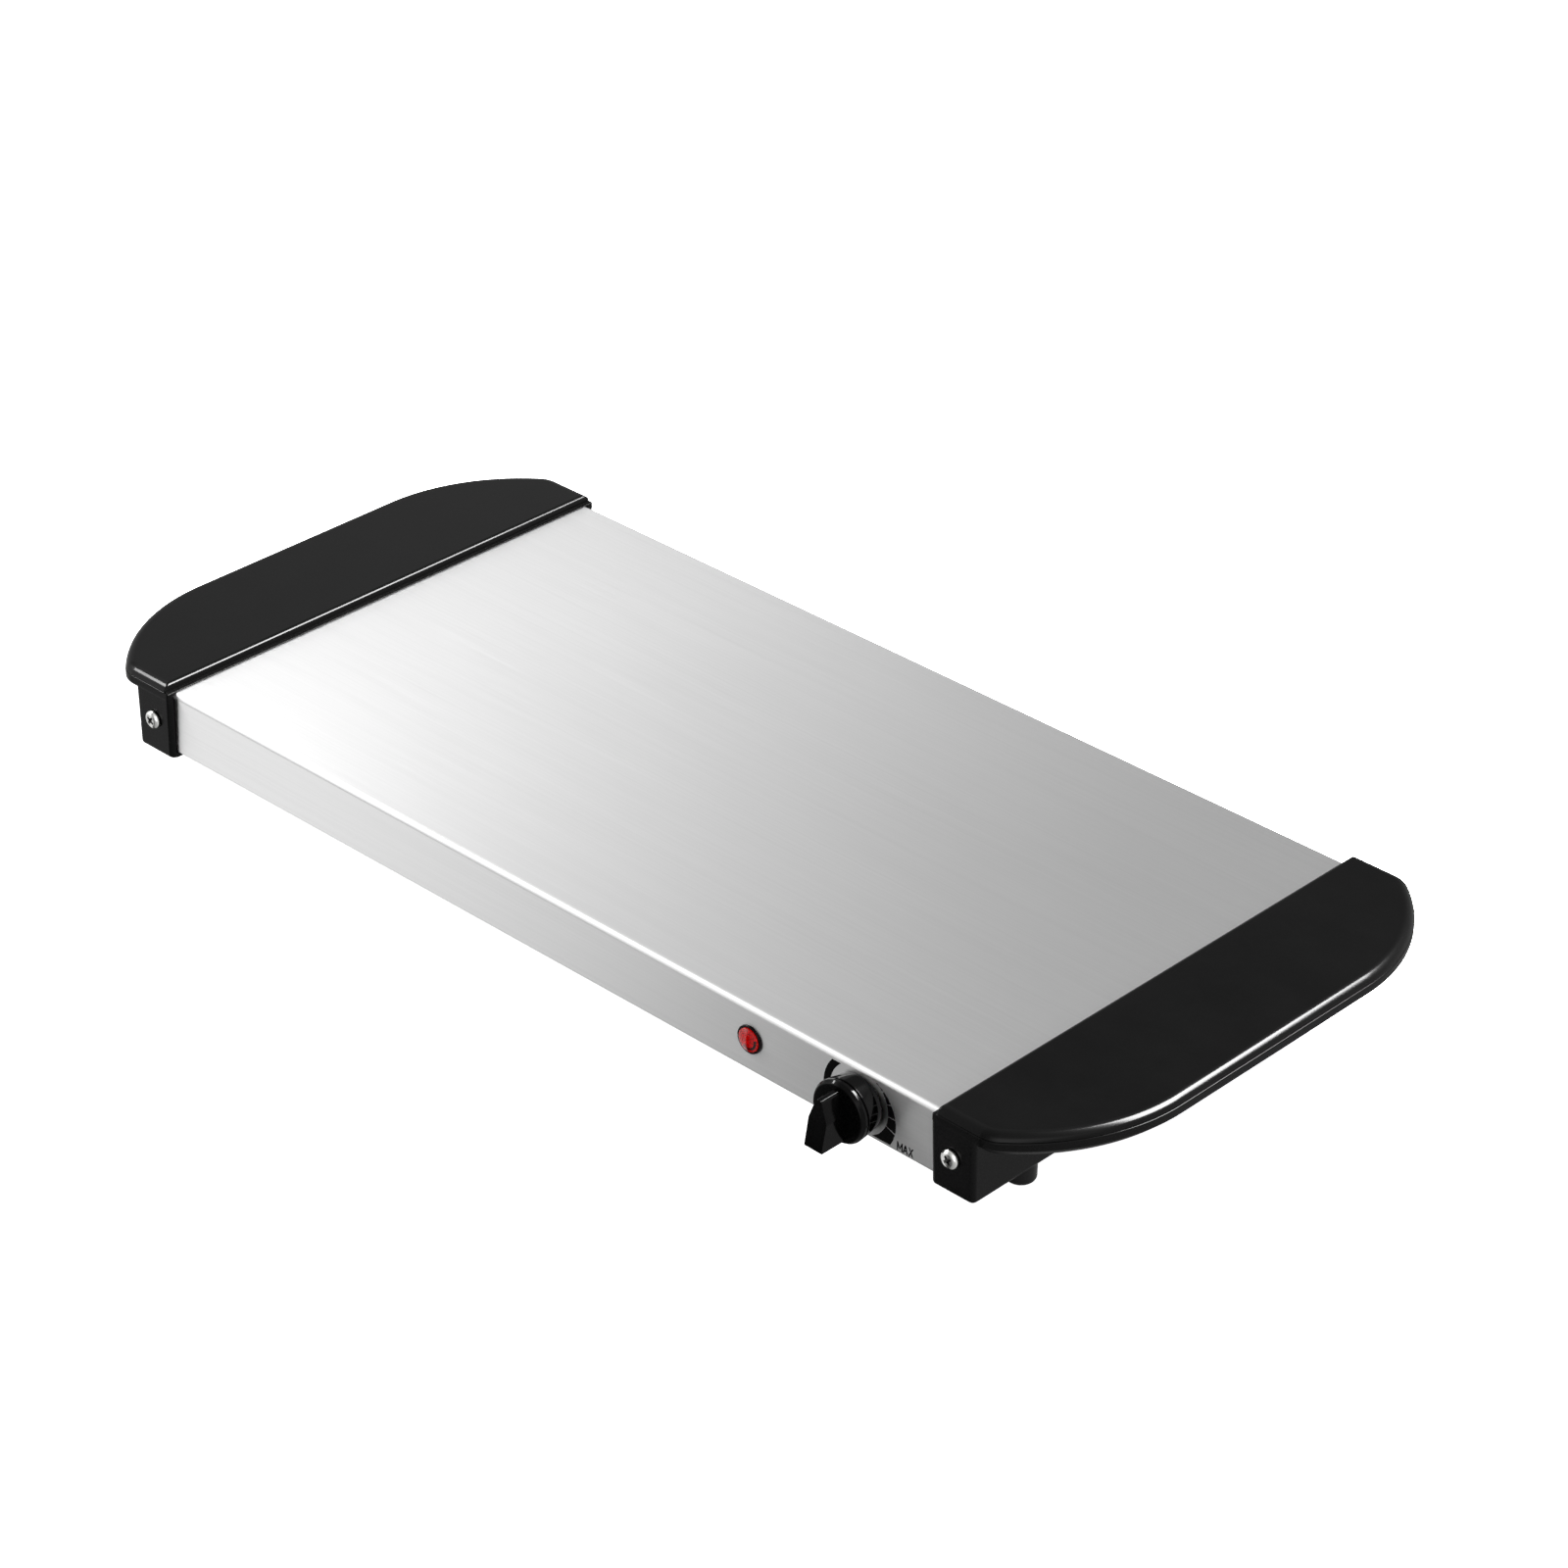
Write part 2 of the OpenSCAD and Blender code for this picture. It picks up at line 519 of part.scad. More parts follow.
module earth_wire() tray() color([0.35, 0.6, 0.15])
    wire([[191, 66, tz], [191, 52, tz], [200, 38, -25], [218, 40, -26], [228, 50, -30], [230.4, 55.6, -wall_h + 1.4]], 1.2);

module earth_screw() tray() color([0.8, 0.72, 0.45]) {
    translate([232, 60, -wall_h + 0.0]) cylinder(r = 3.4, h = 0.8);
    translate([232, 60, -wall_h - 0.8]) mirror([0, 0, 1]) pan_screw(2.9, 1.7, 1.6, 4);
}

module cord_gland() tray() color([0.07, 0.07, 0.07]) on_back(gland_x, knob_z) difference() {
    union() {
        cylinder(r = 8.5, h = 2);
        translate([0, 0, -11.8]) cylinder(r = 6, h = 12);
        translate([0, 0, -sheet - 2.4]) cylinder(r = 7.6, h = 2.4);
    }
    translate([0, 0, -20]) cylinder(r = gland_bore, h = 40);
}

// ---------- the nodes ----------

top_cover();
base_plate();
base_screws();
left_handle_cap();
right_handle_cap();
left_handle_shell();
right_handle_shell();
cap_screws();
handle_screws();
clinch_nuts();
feet();
foot_screws();
knob();
knob_clip();
thermostat_shaft();
shaft_clip();
adjuster_pin();
thermostat_bracket();
thermostat_nut();
ceramic_spacers();
stack_rivet();
moving_contact_blade();
blade_terminal();
fixed_contact_blade();
bimetal_strip();
indicator_lens();
lamp_holder();
neon_bulb();
lamp_resistor();
heat_spreader();
upper_mica_sheet();
heating_ribbon();
mica_card();
lower_mica_sheet();
clamp_bars();
clamp_studs();
clamp_nuts();
insulation_blanket();
thermal_fuse();
fuse_sleeve();
fuse_clip();
terminal_block();
terminal_screws();
live_wire();
fuse_wire();
heater_wire();
neutral_wire();
lamp_wires();
earth_wire();
earth_screw();
cord_gland();
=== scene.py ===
import math

import bmesh
import bpy
from mathutils import Matrix, Quaternion, Vector


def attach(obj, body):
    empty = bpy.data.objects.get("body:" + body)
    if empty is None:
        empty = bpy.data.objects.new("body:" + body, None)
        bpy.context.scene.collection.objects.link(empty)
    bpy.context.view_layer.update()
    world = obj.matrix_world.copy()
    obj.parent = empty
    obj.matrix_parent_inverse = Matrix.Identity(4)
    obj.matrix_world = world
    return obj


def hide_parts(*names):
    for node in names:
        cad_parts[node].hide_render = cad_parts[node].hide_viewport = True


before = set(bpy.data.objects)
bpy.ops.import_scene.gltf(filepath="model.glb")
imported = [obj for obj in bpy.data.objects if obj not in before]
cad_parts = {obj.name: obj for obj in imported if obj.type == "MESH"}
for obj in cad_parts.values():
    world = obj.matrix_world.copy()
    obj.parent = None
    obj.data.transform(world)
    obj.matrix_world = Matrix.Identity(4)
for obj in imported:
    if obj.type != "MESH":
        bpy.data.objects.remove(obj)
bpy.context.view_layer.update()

scene = bpy.context.scene
PI = math.pi

# The tray's own axes, in millimetres: X along the plate, Y to the back, Z = 0 on
# the plate's top face. The plate's middle stands CY behind the frame's origin.
CY, TOP = 11.4, 46.0
HX, HY = 250.0, 139.7        # half length of the steel that shows, half depth
YH, XO = 143.7, 320.0        # half depth and half length of the handles
LEG = 35.86                  # leg bottoms below the plate's top face
KNOB = (204.2, -16.6)
LAMP = (139.0, -16.3)
GLAND = (204.0, -16.6)


def W(p):
    return Vector((p[0] / 1000, (p[1] + CY) / 1000, (p[2] + TOP) / 1000))


# ---------------------------------------------------------------- camera

def look(az, el, roll, pos, lens):
    right = Vector((math.cos(az), math.sin(az), 0))
    back = Vector((math.sin(az) * math.cos(el), -math.cos(az) * math.cos(el), math.sin(el)))
    up = back.cross(right)
    r2 = right * math.cos(roll) + up * math.sin(roll)
    u2 = up * math.cos(roll) - right * math.sin(roll)
    data = bpy.data.cameras.new("camera")
    data.lens, data.sensor_width = lens, 36
    data.clip_start, data.clip_end = 0.05, 60
    cam = bpy.data.objects.new("camera", data)
    scene.collection.objects.link(cam)
    m = Matrix((r2, u2, back)).transposed().to_4x4()
    m.translation = Vector(pos)
    cam.matrix_world = m
    scene.camera = cam


look(0.7517162352, 0.5394519138, 0.0181519332, (1.300134, -1.351751, 1.169457), 106.9355)


# ---------------------------------------------------------------- mesh helpers

def rounded(pts, seg=5, closed=True):
    """Points (x, y) or (x, y, radius), with a fillet at each point that has a radius."""
    out, n = [], len(pts)
    for i, p in enumerate(pts):
        r = p[2] if len(p) > 2 else 0
        if r <= 0 or (not closed and i in (0, n - 1)):
            out.append((p[0], p[1]))
            continue
        q = Vector((p[0], p[1]))
        v1 = (Vector(pts[i - 1][:2]) - q).normalized()
        v2 = (Vector(pts[(i + 1) % n][:2]) - q).normalized()
        ang = v1.angle(v2)
        if ang > PI - 1e-4:
            out.append((p[0], p[1]))
            continue
        c = q + (v1 + v2).normalized() * (r / math.sin(ang / 2))
        t = r / math.tan(ang / 2)
        a, b = q + v1 * t - c, q + v2 * t - c
        a0 = math.atan2(a.y, a.x)
        d = math.atan2(b.y, b.x) - a0
        d = (d + PI) % (2 * PI) - PI
        for k in range(seg + 1):
            w = a0 + d * k / seg
            out.append((c.x + r * math.cos(w), c.y + r * math.sin(w)))
    return out


def raw(verts, faces):
    """A mesh in the frame's metres from points in the tray's millimetres, faces turned outwards."""
    bm = bmesh.new()
    vs = [bm.verts.new(W(v)) for v in verts]
    for f in faces:
        g = []
        for i in f:
            if i not in g:
                g.append(i)
        if len(g) > 2:
            try:
                bm.faces.new([vs[i] for i in g])
            except ValueError:
                pass
    bmesh.ops.remove_doubles(bm, verts=bm.verts, dist=2e-6)
    bmesh.ops.recalc_face_normals(bm, faces=bm.faces)
    me = bpy.data.meshes.new("m")
    bm.to_mesh(me)
    bm.free()
    return me


def put(name, me):
    ob = bpy.data.objects.new(name, me)
    me.name = name
    scene.collection.objects.link(ob)
    return ob


def flatten(ob):
    """Applies every modifier to the mesh."""
    bpy.context.view_layer.update()
    dg = bpy.context.evaluated_depsgraph_get()
    me = bpy.data.meshes.new_from_object(ob.evaluated_get(dg), depsgraph=dg)
    ob.modifiers.clear()
    ob.data = me
    me.name = ob.name
    return ob


def cut(ob, other, op="DIFFERENCE"):
    tool = put("tool", other) if not isinstance(other, bpy.types.Object) else other
    m = ob.modifiers.new("cut", "BOOLEAN")
    m.operation, m.object, m.solver = op, tool, "EXACT"
    flatten(ob)
    bpy.data.objects.remove(tool)
    bm = bmesh.new()
    bm.from_mesh(ob.data)
    bmesh.ops.remove_doubles(bm, verts=bm.verts, dist=2e-6)
    bmesh.ops.dissolve_degenerate(bm, edges=bm.edges, dist=1e-6)
    bm.to_mesh(ob.data)
    bm.free()
    return ob


def bevel(ob, width, seg=3, angle=30):
    m = ob.modifiers.new("bevel", "BEVEL")
    m.width, m.segments, m.limit_method, m.angle_limit = width / 1000, seg, "ANGLE", math.radians(angle)
    m.harden_normals = False
    m.use_clamp_overlap = True
    return flatten(ob)


def smooth(ob, angle=35):
    me = ob.data
    me.polygons.foreach_set("use_smooth", [True] * len(me.polygons))
    me.set_sharp_from_angle(angle=math.radians(angle))
    m = ob.modifiers.new("normals", "WEIGHTED_NORMAL")
    m.keep_sharp, m.weight = True, 80
    return ob


def loft(rows, ends=(True, True), around=True):
    n = len(rows[0])
    verts = [p for r in rows for p in r]
    faces = []
    for j in range(len(rows) - 1):
        for i in range(n if around else n - 1):
            k = (i + 1) % n
            faces.append([j * n + i, j * n + k, (j + 1) * n + k, (j + 1) * n + i])
    if ends[0]:
        faces.append(list(range(n)))
    if ends[1]:
        faces.append([(len(rows) - 1) * n + i for i in range(n)])
    return raw(verts, faces)


def revolve(profile, place, n=64, closed=False, phase=0.0):
    """Profile points (radius, height) turned round the axis; place maps (a, b, height) to the tray."""
    verts, idx = [], []
    for r, h in profile:
        if r < 1e-6:
            idx.append([len(verts)] * n)
            verts.append(place(0, 0, h))
        else:
            idx.append([len(verts) + k for k in range(n)])
            for k in range(n):
                a = phase + 2 * PI * k / n
                verts.append(place(r * math.cos(a), r * math.sin(a), h))
    m = len(profile)
    faces = []
    for i in range(m if closed else m - 1):
        a, b = idx[i], idx[(i + 1) % m]
        for k in range(n):
            faces.append([a[k], a[(k + 1) % n], b[(k + 1) % n], b[k]])
    return raw(verts, faces)


def box(x0, x1, y0, y1, z0, z1):
    v = [(x, y, z) for z in (z0, z1) for x, y in ((x0, y0), (x1, y0), (x1, y1), (x0, y1))]
    return loft([v[:4], v[4:]])


def prism(outline, place, h0, h1):
    return loft([[place(a, b, h0) for a, b in outline], [place(a, b, h1) for a, b in outline]])


def on_front(cx, cz):
    """(right, up, out of the front wall) to the tray."""
    return lambda a, b, h: (cx + a, -HY - h, cz + b)


def on_back(cx, cz, out=0.0):
    return lambda a, b, h: (cx + a, HY + out + h, cz + b)


def downwards(cx, cy, cz):
    return lambda a, b, h: (cx + a, cy + b, cz - h)


def upright(cx, cy, cz):
    return lambda a, b, h: (cx + a, cy + b, cz + h)


def joined(name, meshes):
    bm = bmesh.new()
    for me in meshes:
        bm.from_mesh(me)
    me = bpy.data.meshes.new(name)
    bm.to_mesh(me)
    bm.free()
    return put(name, me)


# ---------------------------------------------------------------- materials

def new_material(name):
    m = bpy.data.materials.new(name)
    m.use_nodes = True
    nt = m.node_tree
    bsdf = nt.nodes["Principled BSDF"]
    return m, nt, bsdf


def node(nt, kind, **sockets):
    n = nt.nodes.new(kind)
    for k, v in sockets.items():
        n.inputs[k.replace("_", " ")].default_value = v
    return n


def coords(nt, scale):
    tc = nt.nodes.new("ShaderNodeTexCoord")
    mp = nt.nodes.new("ShaderNodeMapping")
    mp.inputs["Scale"].default_value = scale
    nt.links.new(tc.outputs["Object"], mp.inputs["Vector"])
    return mp.outputs["Vector"]


def noise(nt, scale, detail=3.0, rough=0.5, distortion=0.0):
    """Noise with features 1/scale metres wide along each axis."""
    n = nt.nodes.new("ShaderNodeTexNoise")
    n.inputs["Scale"].default_value = 1.0
    n.inputs["Detail"].default_value = detail
    n.inputs["Roughness"].default_value = rough
    n.inputs["Distortion"].default_value = distortion
    nt.links.new(coords(nt, scale), n.inputs["Vector"])
    return n.outputs["Fac"]


def ranged(nt, value, lo, hi, a=0.3, b=0.7):
    n = nt.nodes.new("ShaderNodeMapRange")
    n.inputs["From Min"].default_value, n.inputs["From Max"].default_value = a, b
    n.inputs["To Min"].default_value, n.inputs["To Max"].default_value = lo, hi
    nt.links.new(value, n.inputs["Value"])
    return n.outputs["Result"]


def two_tone(nt, value, c0, c1, a=0.3, b=0.7):
    r = nt.nodes.new("ShaderNodeValToRGB")
    r.color_ramp.elements[0].position, r.color_ramp.elements[1].position = a, b
    r.color_ramp.elements[0].color = (*c0, 1)
    r.color_ramp.elements[1].color = (*c1, 1)
    nt.links.new(value, r.inputs["Fac"])
    return r.outputs["Color"]


def bump(nt, bsdf, value, strength, distance, under=None):
    b = nt.nodes.new("ShaderNodeBump")
    b.inputs["Strength"].default_value = strength
    b.inputs["Distance"].default_value = distance
    nt.links.new(value, b.inputs["Height"])
    if under is not None:
        nt.links.new(under, b.inputs["Normal"])
    nt.links.new(b.outputs["Normal"], bsdf.inputs["Normal"])
    return b.outputs["Normal"]


def brushed(name, c0, c1, rough, aniso, grain, strength, coarse=0.004, metallic=1.0):
    """Metal with a grain along X: fine lines in height, roughness and tone."""
    m, nt, s = new_material(name)
    s.inputs["Metallic"].default_value = metallic
    s.inputs["Anisotropic"].default_value = aniso
    fine = noise(nt, (14, grain, grain), 4, 0.62)
    wide = noise(nt, (6, 900, 900), 3, 0.6)
    nt.links.new(two_tone(nt, wide, c0, c1), s.inputs["Base Color"])
    mix = nt.nodes.new("ShaderNodeMath")
    mix.operation = "ADD"
    nt.links.new(ranged(nt, fine, rough - 0.02, rough + 0.02), mix.inputs[0])
    nt.links.new(ranged(nt, noise(nt, (5, 7, 7), 2), -coarse, coarse), mix.inputs[1])
    nt.links.new(mix.outputs[0], s.inputs["Roughness"])
    bump(nt, s, fine, strength, 0.00002)
    if aniso:
        t = nt.nodes.new("ShaderNodeTangent")
        t.direction_type, t.uv_map = "UV_MAP", "grain"
        nt.links.new(t.outputs["Tangent"], s.inputs["Tangent"])
    return m


def plastic(name, c0, c1, rough, spread=0.04, pebble=5200, strength=0.25, depth=0.00002, coat=0.0, ior=1.5, specular=0.5):
    """Moulded plastic: fine die texture, with tone and gloss that wander a little."""
    m, nt, s = new_material(name)
    s.inputs["IOR"].default_value = ior
    s.inputs["Specular IOR Level"].default_value = specular
    s.inputs["Coat Weight"].default_value = coat
    s.inputs["Coat Roughness"].default_value = 0.08
    fine = noise(nt, (pebble,) * 3, 3, 0.55)
    slow = noise(nt, (34, 34, 34), 4, 0.6)
    nt.links.new(two_tone(nt, slow, c0, c1), s.inputs["Base Color"])
    nt.links.new(ranged(nt, slow, rough - spread, rough + spread), s.inputs["Roughness"])
    bump(nt, s, fine, strength, depth)
    return m


def metal(name, c0, c1, rough, spread=0.06, scale=240, strength=0.12, metallic=1.0):
    """Turned or plated metal with small blotches."""
    m, nt, s = new_material(name)
    s.inputs["Metallic"].default_value = metallic
    a = noise(nt, (scale,) * 3, 4, 0.6)
    b = noise(nt, (scale * 12,) * 3, 2, 0.5)
    nt.links.new(two_tone(nt, a, c0, c1), s.inputs["Base Color"])
    nt.links.new(ranged(nt, a, rough - spread, rough + spread), s.inputs["Roughness"])
    bump(nt, s, b, strength, 0.00002)
    return m


def weave(name, c0, c1, scale, rough=0.9, strength=0.6):
    """Fibrous or braided surface."""
    m, nt, s = new_material(name)
    s.inputs["Roughness"].default_value = rough
    s.inputs["Sheen Weight"].default_value = 0.3
    a = noise(nt, scale, 6, 0.7, 0.6)
    nt.links.new(two_tone(nt, a, c0, c1), s.inputs["Base Color"])
    bump(nt, s, a, strength, 0.0004)
    return m


STEEL = brushed("brushed_stainless", (0.685, 0.685, 0.685), (0.715, 0.715, 0.715), 0.36, 0.85, 2600, 0.05)
# a slightly lighter copy of the steel on the bends: painted highlight; its rougher, unbrushed finish stands for the
# stretched metal
FOLD_PAINTED_HIGHLIGHT = brushed("stretched_fold_painted_highlight", (0.70, 0.70, 0.70), (0.74, 0.74, 0.74), 0.41, 0.0, 2600, 0.05)
ZINC = metal("zinc_sheet", (0.50, 0.51, 0.52), (0.62, 0.63, 0.64), 0.38, 0.08, 60, 0.1)
CAP = plastic("black_satin_cap", (0.0004, 0.0004, 0.0004), (0.0006, 0.0006, 0.0006), 0.18, 0.015, 4200, 0.06, specular=0.13)
SHELL = plastic("black_satin_shell", (0.0006, 0.0006, 0.0006), (0.0008, 0.0008, 0.0008), 0.24, 0.02, 4200, 0.08, specular=0.10)
FOOT = plastic("black_foot", (0.0006, 0.0006, 0.0006), (0.0009, 0.0009, 0.0009), 0.24, 0.04, 3000, 0.15, specular=0.2)
GLOSS = plastic("black_gloss_knob", (0.0003, 0.0003, 0.0003), (0.0005, 0.0005, 0.0005), 0.11, 0.015, 1500, 0.03, specular=0.09)
SCREW = metal("bright_zinc", (0.72, 0.72, 0.70), (0.84, 0.84, 0.82), 0.20, 0.05, 500, 0.1)
# near-black zinc for the screw recesses: painted shade in the hollows
RECESS_SHADE = metal("zinc_recess_painted_shade", (0.035, 0.035, 0.034), (0.07, 0.07, 0.068), 0.45, 0.05, 900, 0.1)
INK = plastic("black_print", (0.0006, 0.0006, 0.0006), (0.0010, 0.0010, 0.0010), 0.5, 0.05, 6000, 0.2, specular=0.02)
RUBBER = plastic("black_rubber", (0.011, 0.011, 0.011), (0.017, 0.017, 0.016), 0.6, 0.06, 2600, 0.4)
SPRING = metal("spring_steel", (0.30, 0.31, 0.34), (0.42, 0.42, 0.44), 0.3)
TURNED = metal("turned_steel", (0.58, 0.58, 0.57), (0.68, 0.68, 0.67), 0.28)
CERAMIC = plastic("white_ceramic", (0.80, 0.78, 0.72), (0.88, 0.86, 0.81), 0.3, 0.05, 1400, 0.2)
BRASS = metal("brass", (0.72, 0.52, 0.22), (0.82, 0.62, 0.30), 0.28)
BRONZE = metal("contact_bronze", (0.66, 0.42, 0.20), (0.75, 0.52, 0.28), 0.32)
BIMETAL = metal("bimetal", (0.42, 0.40, 0.36), (0.52, 0.50, 0.46), 0.38)
NYLON = plastic("white_nylon", (0.78, 0.78, 0.75), (0.86, 0.86, 0.83), 0.45)
TAN = plastic("resistor_body", (0.52, 0.40, 0.25), (0.62, 0.50, 0.32), 0.5)
ALU = brushed("mill_aluminium", (0.74, 0.75, 0.76), (0.82, 0.83, 0.84), 0.35, 0.0, 1500, 0.15)
MICA = plastic("mica", (0.42, 0.36, 0.24), (0.58, 0.50, 0.36), 0.35, 0.1, 700, 0.2)
RIBBON = metal("heating_alloy", (0.26, 0.25, 0.25), (0.36, 0.34, 0.32), 0.45)
WOOL = weave("mineral_wool", (0.60, 0.57, 0.47), (0.78, 0.75, 0.65), (900, 900, 260))
SLEEVE = weave("glass_sleeve", (0.72, 0.70, 0.64), (0.86, 0.84, 0.78), (2600, 2600, 2600), 0.7, 0.4)
BROWN = plastic("wire_brown", (0.16, 0.065, 0.028), (0.21, 0.09, 0.04), 0.4)
BLUE = plastic("wire_blue", (0.03, 0.10, 0.36), (0.05, 0.14, 0.45), 0.4)
CREAM = plastic("wire_white", (0.72, 0.70, 0.63), (0.80, 0.78, 0.72), 0.45)


def earth_material():
    """Green insulation with a yellow stripe that winds round it."""
    m, nt, s = new_material("wire_green_yellow")
    w = nt.nodes.new("ShaderNodeTexWave")
    w.inputs["Scale"].default_value = 1.0
    w.inputs["Distortion"].default_value = 0.4
    nt.links.new(coords(nt, (220, 260, 300)), w.inputs["Vector"])
    nt.links.new(two_tone(nt, w.outputs["Fac"], (0.10, 0.34, 0.05), (0.75, 0.62, 0.04), 0.48, 0.52), s.inputs["Base Color"])
    s.inputs["Roughness"].default_value = 0.42
    return m


def clear_glass(name, tint, rough=0.02, ior=1.5):
    m, nt, s = new_material(name)
    s.inputs["Transmission Weight"].default_value = 1.0
    s.inputs["IOR"].default_value = ior
    a = noise(nt, (300, 300, 300), 2)
    nt.links.new(two_tone(nt, a, tint, tuple(min(1.0, c * 1.06) for c in tint)), s.inputs["Base Color"])
    nt.links.new(ranged(nt, a, rough, rough + 0.02), s.inputs["Roughness"])
    return m


EARTH = earth_material()
BULB = clear_glass("bulb_glass", (0.95, 0.82, 0.72))
LENS = clear_glass("red_lens", (0.80, 0.004, 0.004), 0.03, 1.49)
LENS.node_tree.nodes["Principled BSDF"].inputs["Specular IOR Level"].default_value = 0.05


def painted_light_facets_material():
    """Moulded facets inside the lens: deep red, painted lighter on the raised parts of the relief as a painted
    highlight, with a faint painted red glow.
    """
    m, nt, s = new_material("red_facets_painted_light")
    a = noise(nt, (900, 900, 900), 3, 0.6)
    nt.links.new(two_tone(nt, a, (0.21, 0.0, 0.0), (0.30, 0.001, 0.001)), s.inputs["Base Color"])
    nt.links.new(ranged(nt, a, 0.18, 0.30), s.inputs["Roughness"])
    s.inputs["Specular IOR Level"].default_value = 0.03
    # faint red glow of the facets: painted light, they are no lamp
    s.inputs["Emission Color"].default_value = (1.0, 0.002, 0.002, 1)
    s.inputs["Emission Strength"].default_value = 0.10
    bump(nt, s, a, 0.2, 0.0001)
    return m


CORE_PAINTED_LIGHT = painted_light_facets_material()
# dark red of the lens rim; also used for a painted shadow crescent on the facets
RIM_AND_SHADOW = plastic("dark_red_rim_and_painted_shadow", (0.0012, 0.0002, 0.0002), (0.0020, 0.0003, 0.0003), 0.2, 0.03, 2000, 0.05, specular=0.1)


# ---------------------------------------------------------------- steel cover

def cover():
    def crown(x, y):
        """The sheet bows up by a fraction of a millimetre between its folds."""
        f = max(0.0, 1 - (y / 137.0) ** 2)
        g = max(0.0, 1 - (x / 252.0) ** 4)
        return 0.45 * f * g

    def section(off):
        """Outer line of the folded sheet drawn in by off, front flange to back flange."""
        r, b = 2.6, 1.3
        pts = [(-HY + 11, -33.1 + off), (-HY + off, -33.1 + off, b - off * 0.6), (-HY + off, -off, r - off),
               (HY - off, -off, r - off), (HY - off, -33.1 + off, b - off * 0.6), (HY - 11, -33.1 + off)]
        line = rounded(pts, 8, closed=False)
        if off == 0:
            # faint press line where each fold begins
            new = []
            for q in line:
                if abs(q[1]) < 1e-6 and abs(abs(q[0]) - (HY - r)) < 1e-3:
                    e = 1 if q[0] < 0 else -1
                    trio = [q, (q[0] + e * 0.12, -0.035), (q[0] + e * 0.3, -0.035), (q[0] + e * 0.42, 0.0)]
                    new += trio if e > 0 else trio[::-1]
                else:
                    new.append(q)
            line = new
        # more points across the top, for the crown
        out = []
        for i, p in enumerate(line):
            out.append(p)
            if i + 1 < len(line):
                q = line[i + 1]
                if abs(q[0] - p[0]) > 200:
                    for k in range(1, 24):
                        out.append((p[0] + (q[0] - p[0]) * k / 24, p[1]))
                elif abs(q[1] - p[1]) > 20:
                    for k in range(1, 6):
                        out.append((p[0], p[1] + (q[1] - p[1]) * k / 6))
        return out

    outer, inner = section(0.0), section(0.8)
    ring = outer + inner[::-1]
    xs = sorted(set([-266, -250.6, -249.8, 249.8, 250.6, 266] + [-249.8 + 499.6 * k / 40 for k in range(41)]))
    rows = []
    for x in xs:
        row = []
        for y, z in ring:
            dz = 0.0
            if z > -1.0 and abs(y) < 137.2:
                dz = crown(x, y)
            if abs(x) > 250.2:
                dz -= 0.3 * (1.0 if z > -3 else max(0.0, (z + 33.1) / 30.1))
            row.append((x, y, z + dz))
        rows.append(row)
    ob = put("cover_sheet", loft(rows))
    for cx, cz, r, side in ((*KNOB, 5.05, -1), (*LAMP, 5.5, -1), (*GLAND, 6.05, 1)):
        place = on_front(cx, cz) if side < 0 else on_back(cx, cz)
        cut(ob, revolve([(0, -4), (r, -4), (r, 3), (0, 3)], place, 48))
    me = ob.data
    uv = me.uv_layers.new(name="grain")
    for poly in me.polygons:
        n = poly.normal
        for li in poly.loop_indices:
            co = me.vertices[me.loops[li].vertex_index].co
            # U runs across the grain, so that the blur does too
            uv.data[li].uv = ((co.y if abs(n.z) > abs(n.y) else co.z) * 1.6 + 0.5, co.x * 1.6 + 0.5)
    me.materials.append(STEEL)
    me.materials.append(FOLD_PAINTED_HIGHLIGHT)
    top = W((0, 0, 0)).z
    for poly in me.polygons:
        # outside of the two long bends, in the lighter fold steel: painted highlight
        y, z = poly.center.y * 1000 - CY, (poly.center.z - top) * 1000
        if -2.6 < z < -0.04 and math.hypot(abs(y) - (HY - 2.6), z + 2.6) > 2.2 and abs(y) > HY - 2.6:
            poly.material_index = 1
    smooth(ob, 40)
    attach(ob, "tray")
    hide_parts("top_cover")
    return ob


# ---------------------------------------------------------------- handles

def grip(ins, inn=0.0, rc=0.9, s=1):
    """Outline of one handle, drawn in by ins outside and by inn along the steel."""
    sx, sy, rr, c = XO - 98.0, 64.5, 98.0, 14.0
    c2y = YH - c
    c2x = sx + math.sqrt((rr - c) ** 2 - (c2y - sy) ** 2)
    th = math.atan2(c2y - sy, c2x - sx)
    y0, x0 = YH - ins, HX + inn
    half = []
    for k in range(5):
        a = PI + (PI / 2) * k / 4
        half.append((x0 + rc + rc * math.cos(a), -y0 + rc + rc * math.sin(a)))
    for k in range(1, 6):
        x = x0 + rc + (c2x - x0 - rc) * k / 6
        half.append((x, -y0))
    for k in range(15):
        a = -PI / 2 + (PI / 2 - th) * k / 14
        half.append((c2x + (c - ins) * math.cos(a), -c2y + (c - ins) * math.sin(a)))
    for k in range(1, 41):
        a = -th + th * k / 40
        half.append((sx + (rr - ins) * math.cos(a), -sy + (rr - ins) * math.sin(a)))
    for k in range(1, 6):
        half.append((XO - ins, -sy + sy * k / 6))
    pts = half + [(XO - ins, 0.0)] + [(x, -y) for x, y in reversed(half)]
    return [(s * x, y) for x, y in pts]


def level(outline, z):
    return [(x, y, z) for x, y in outline]


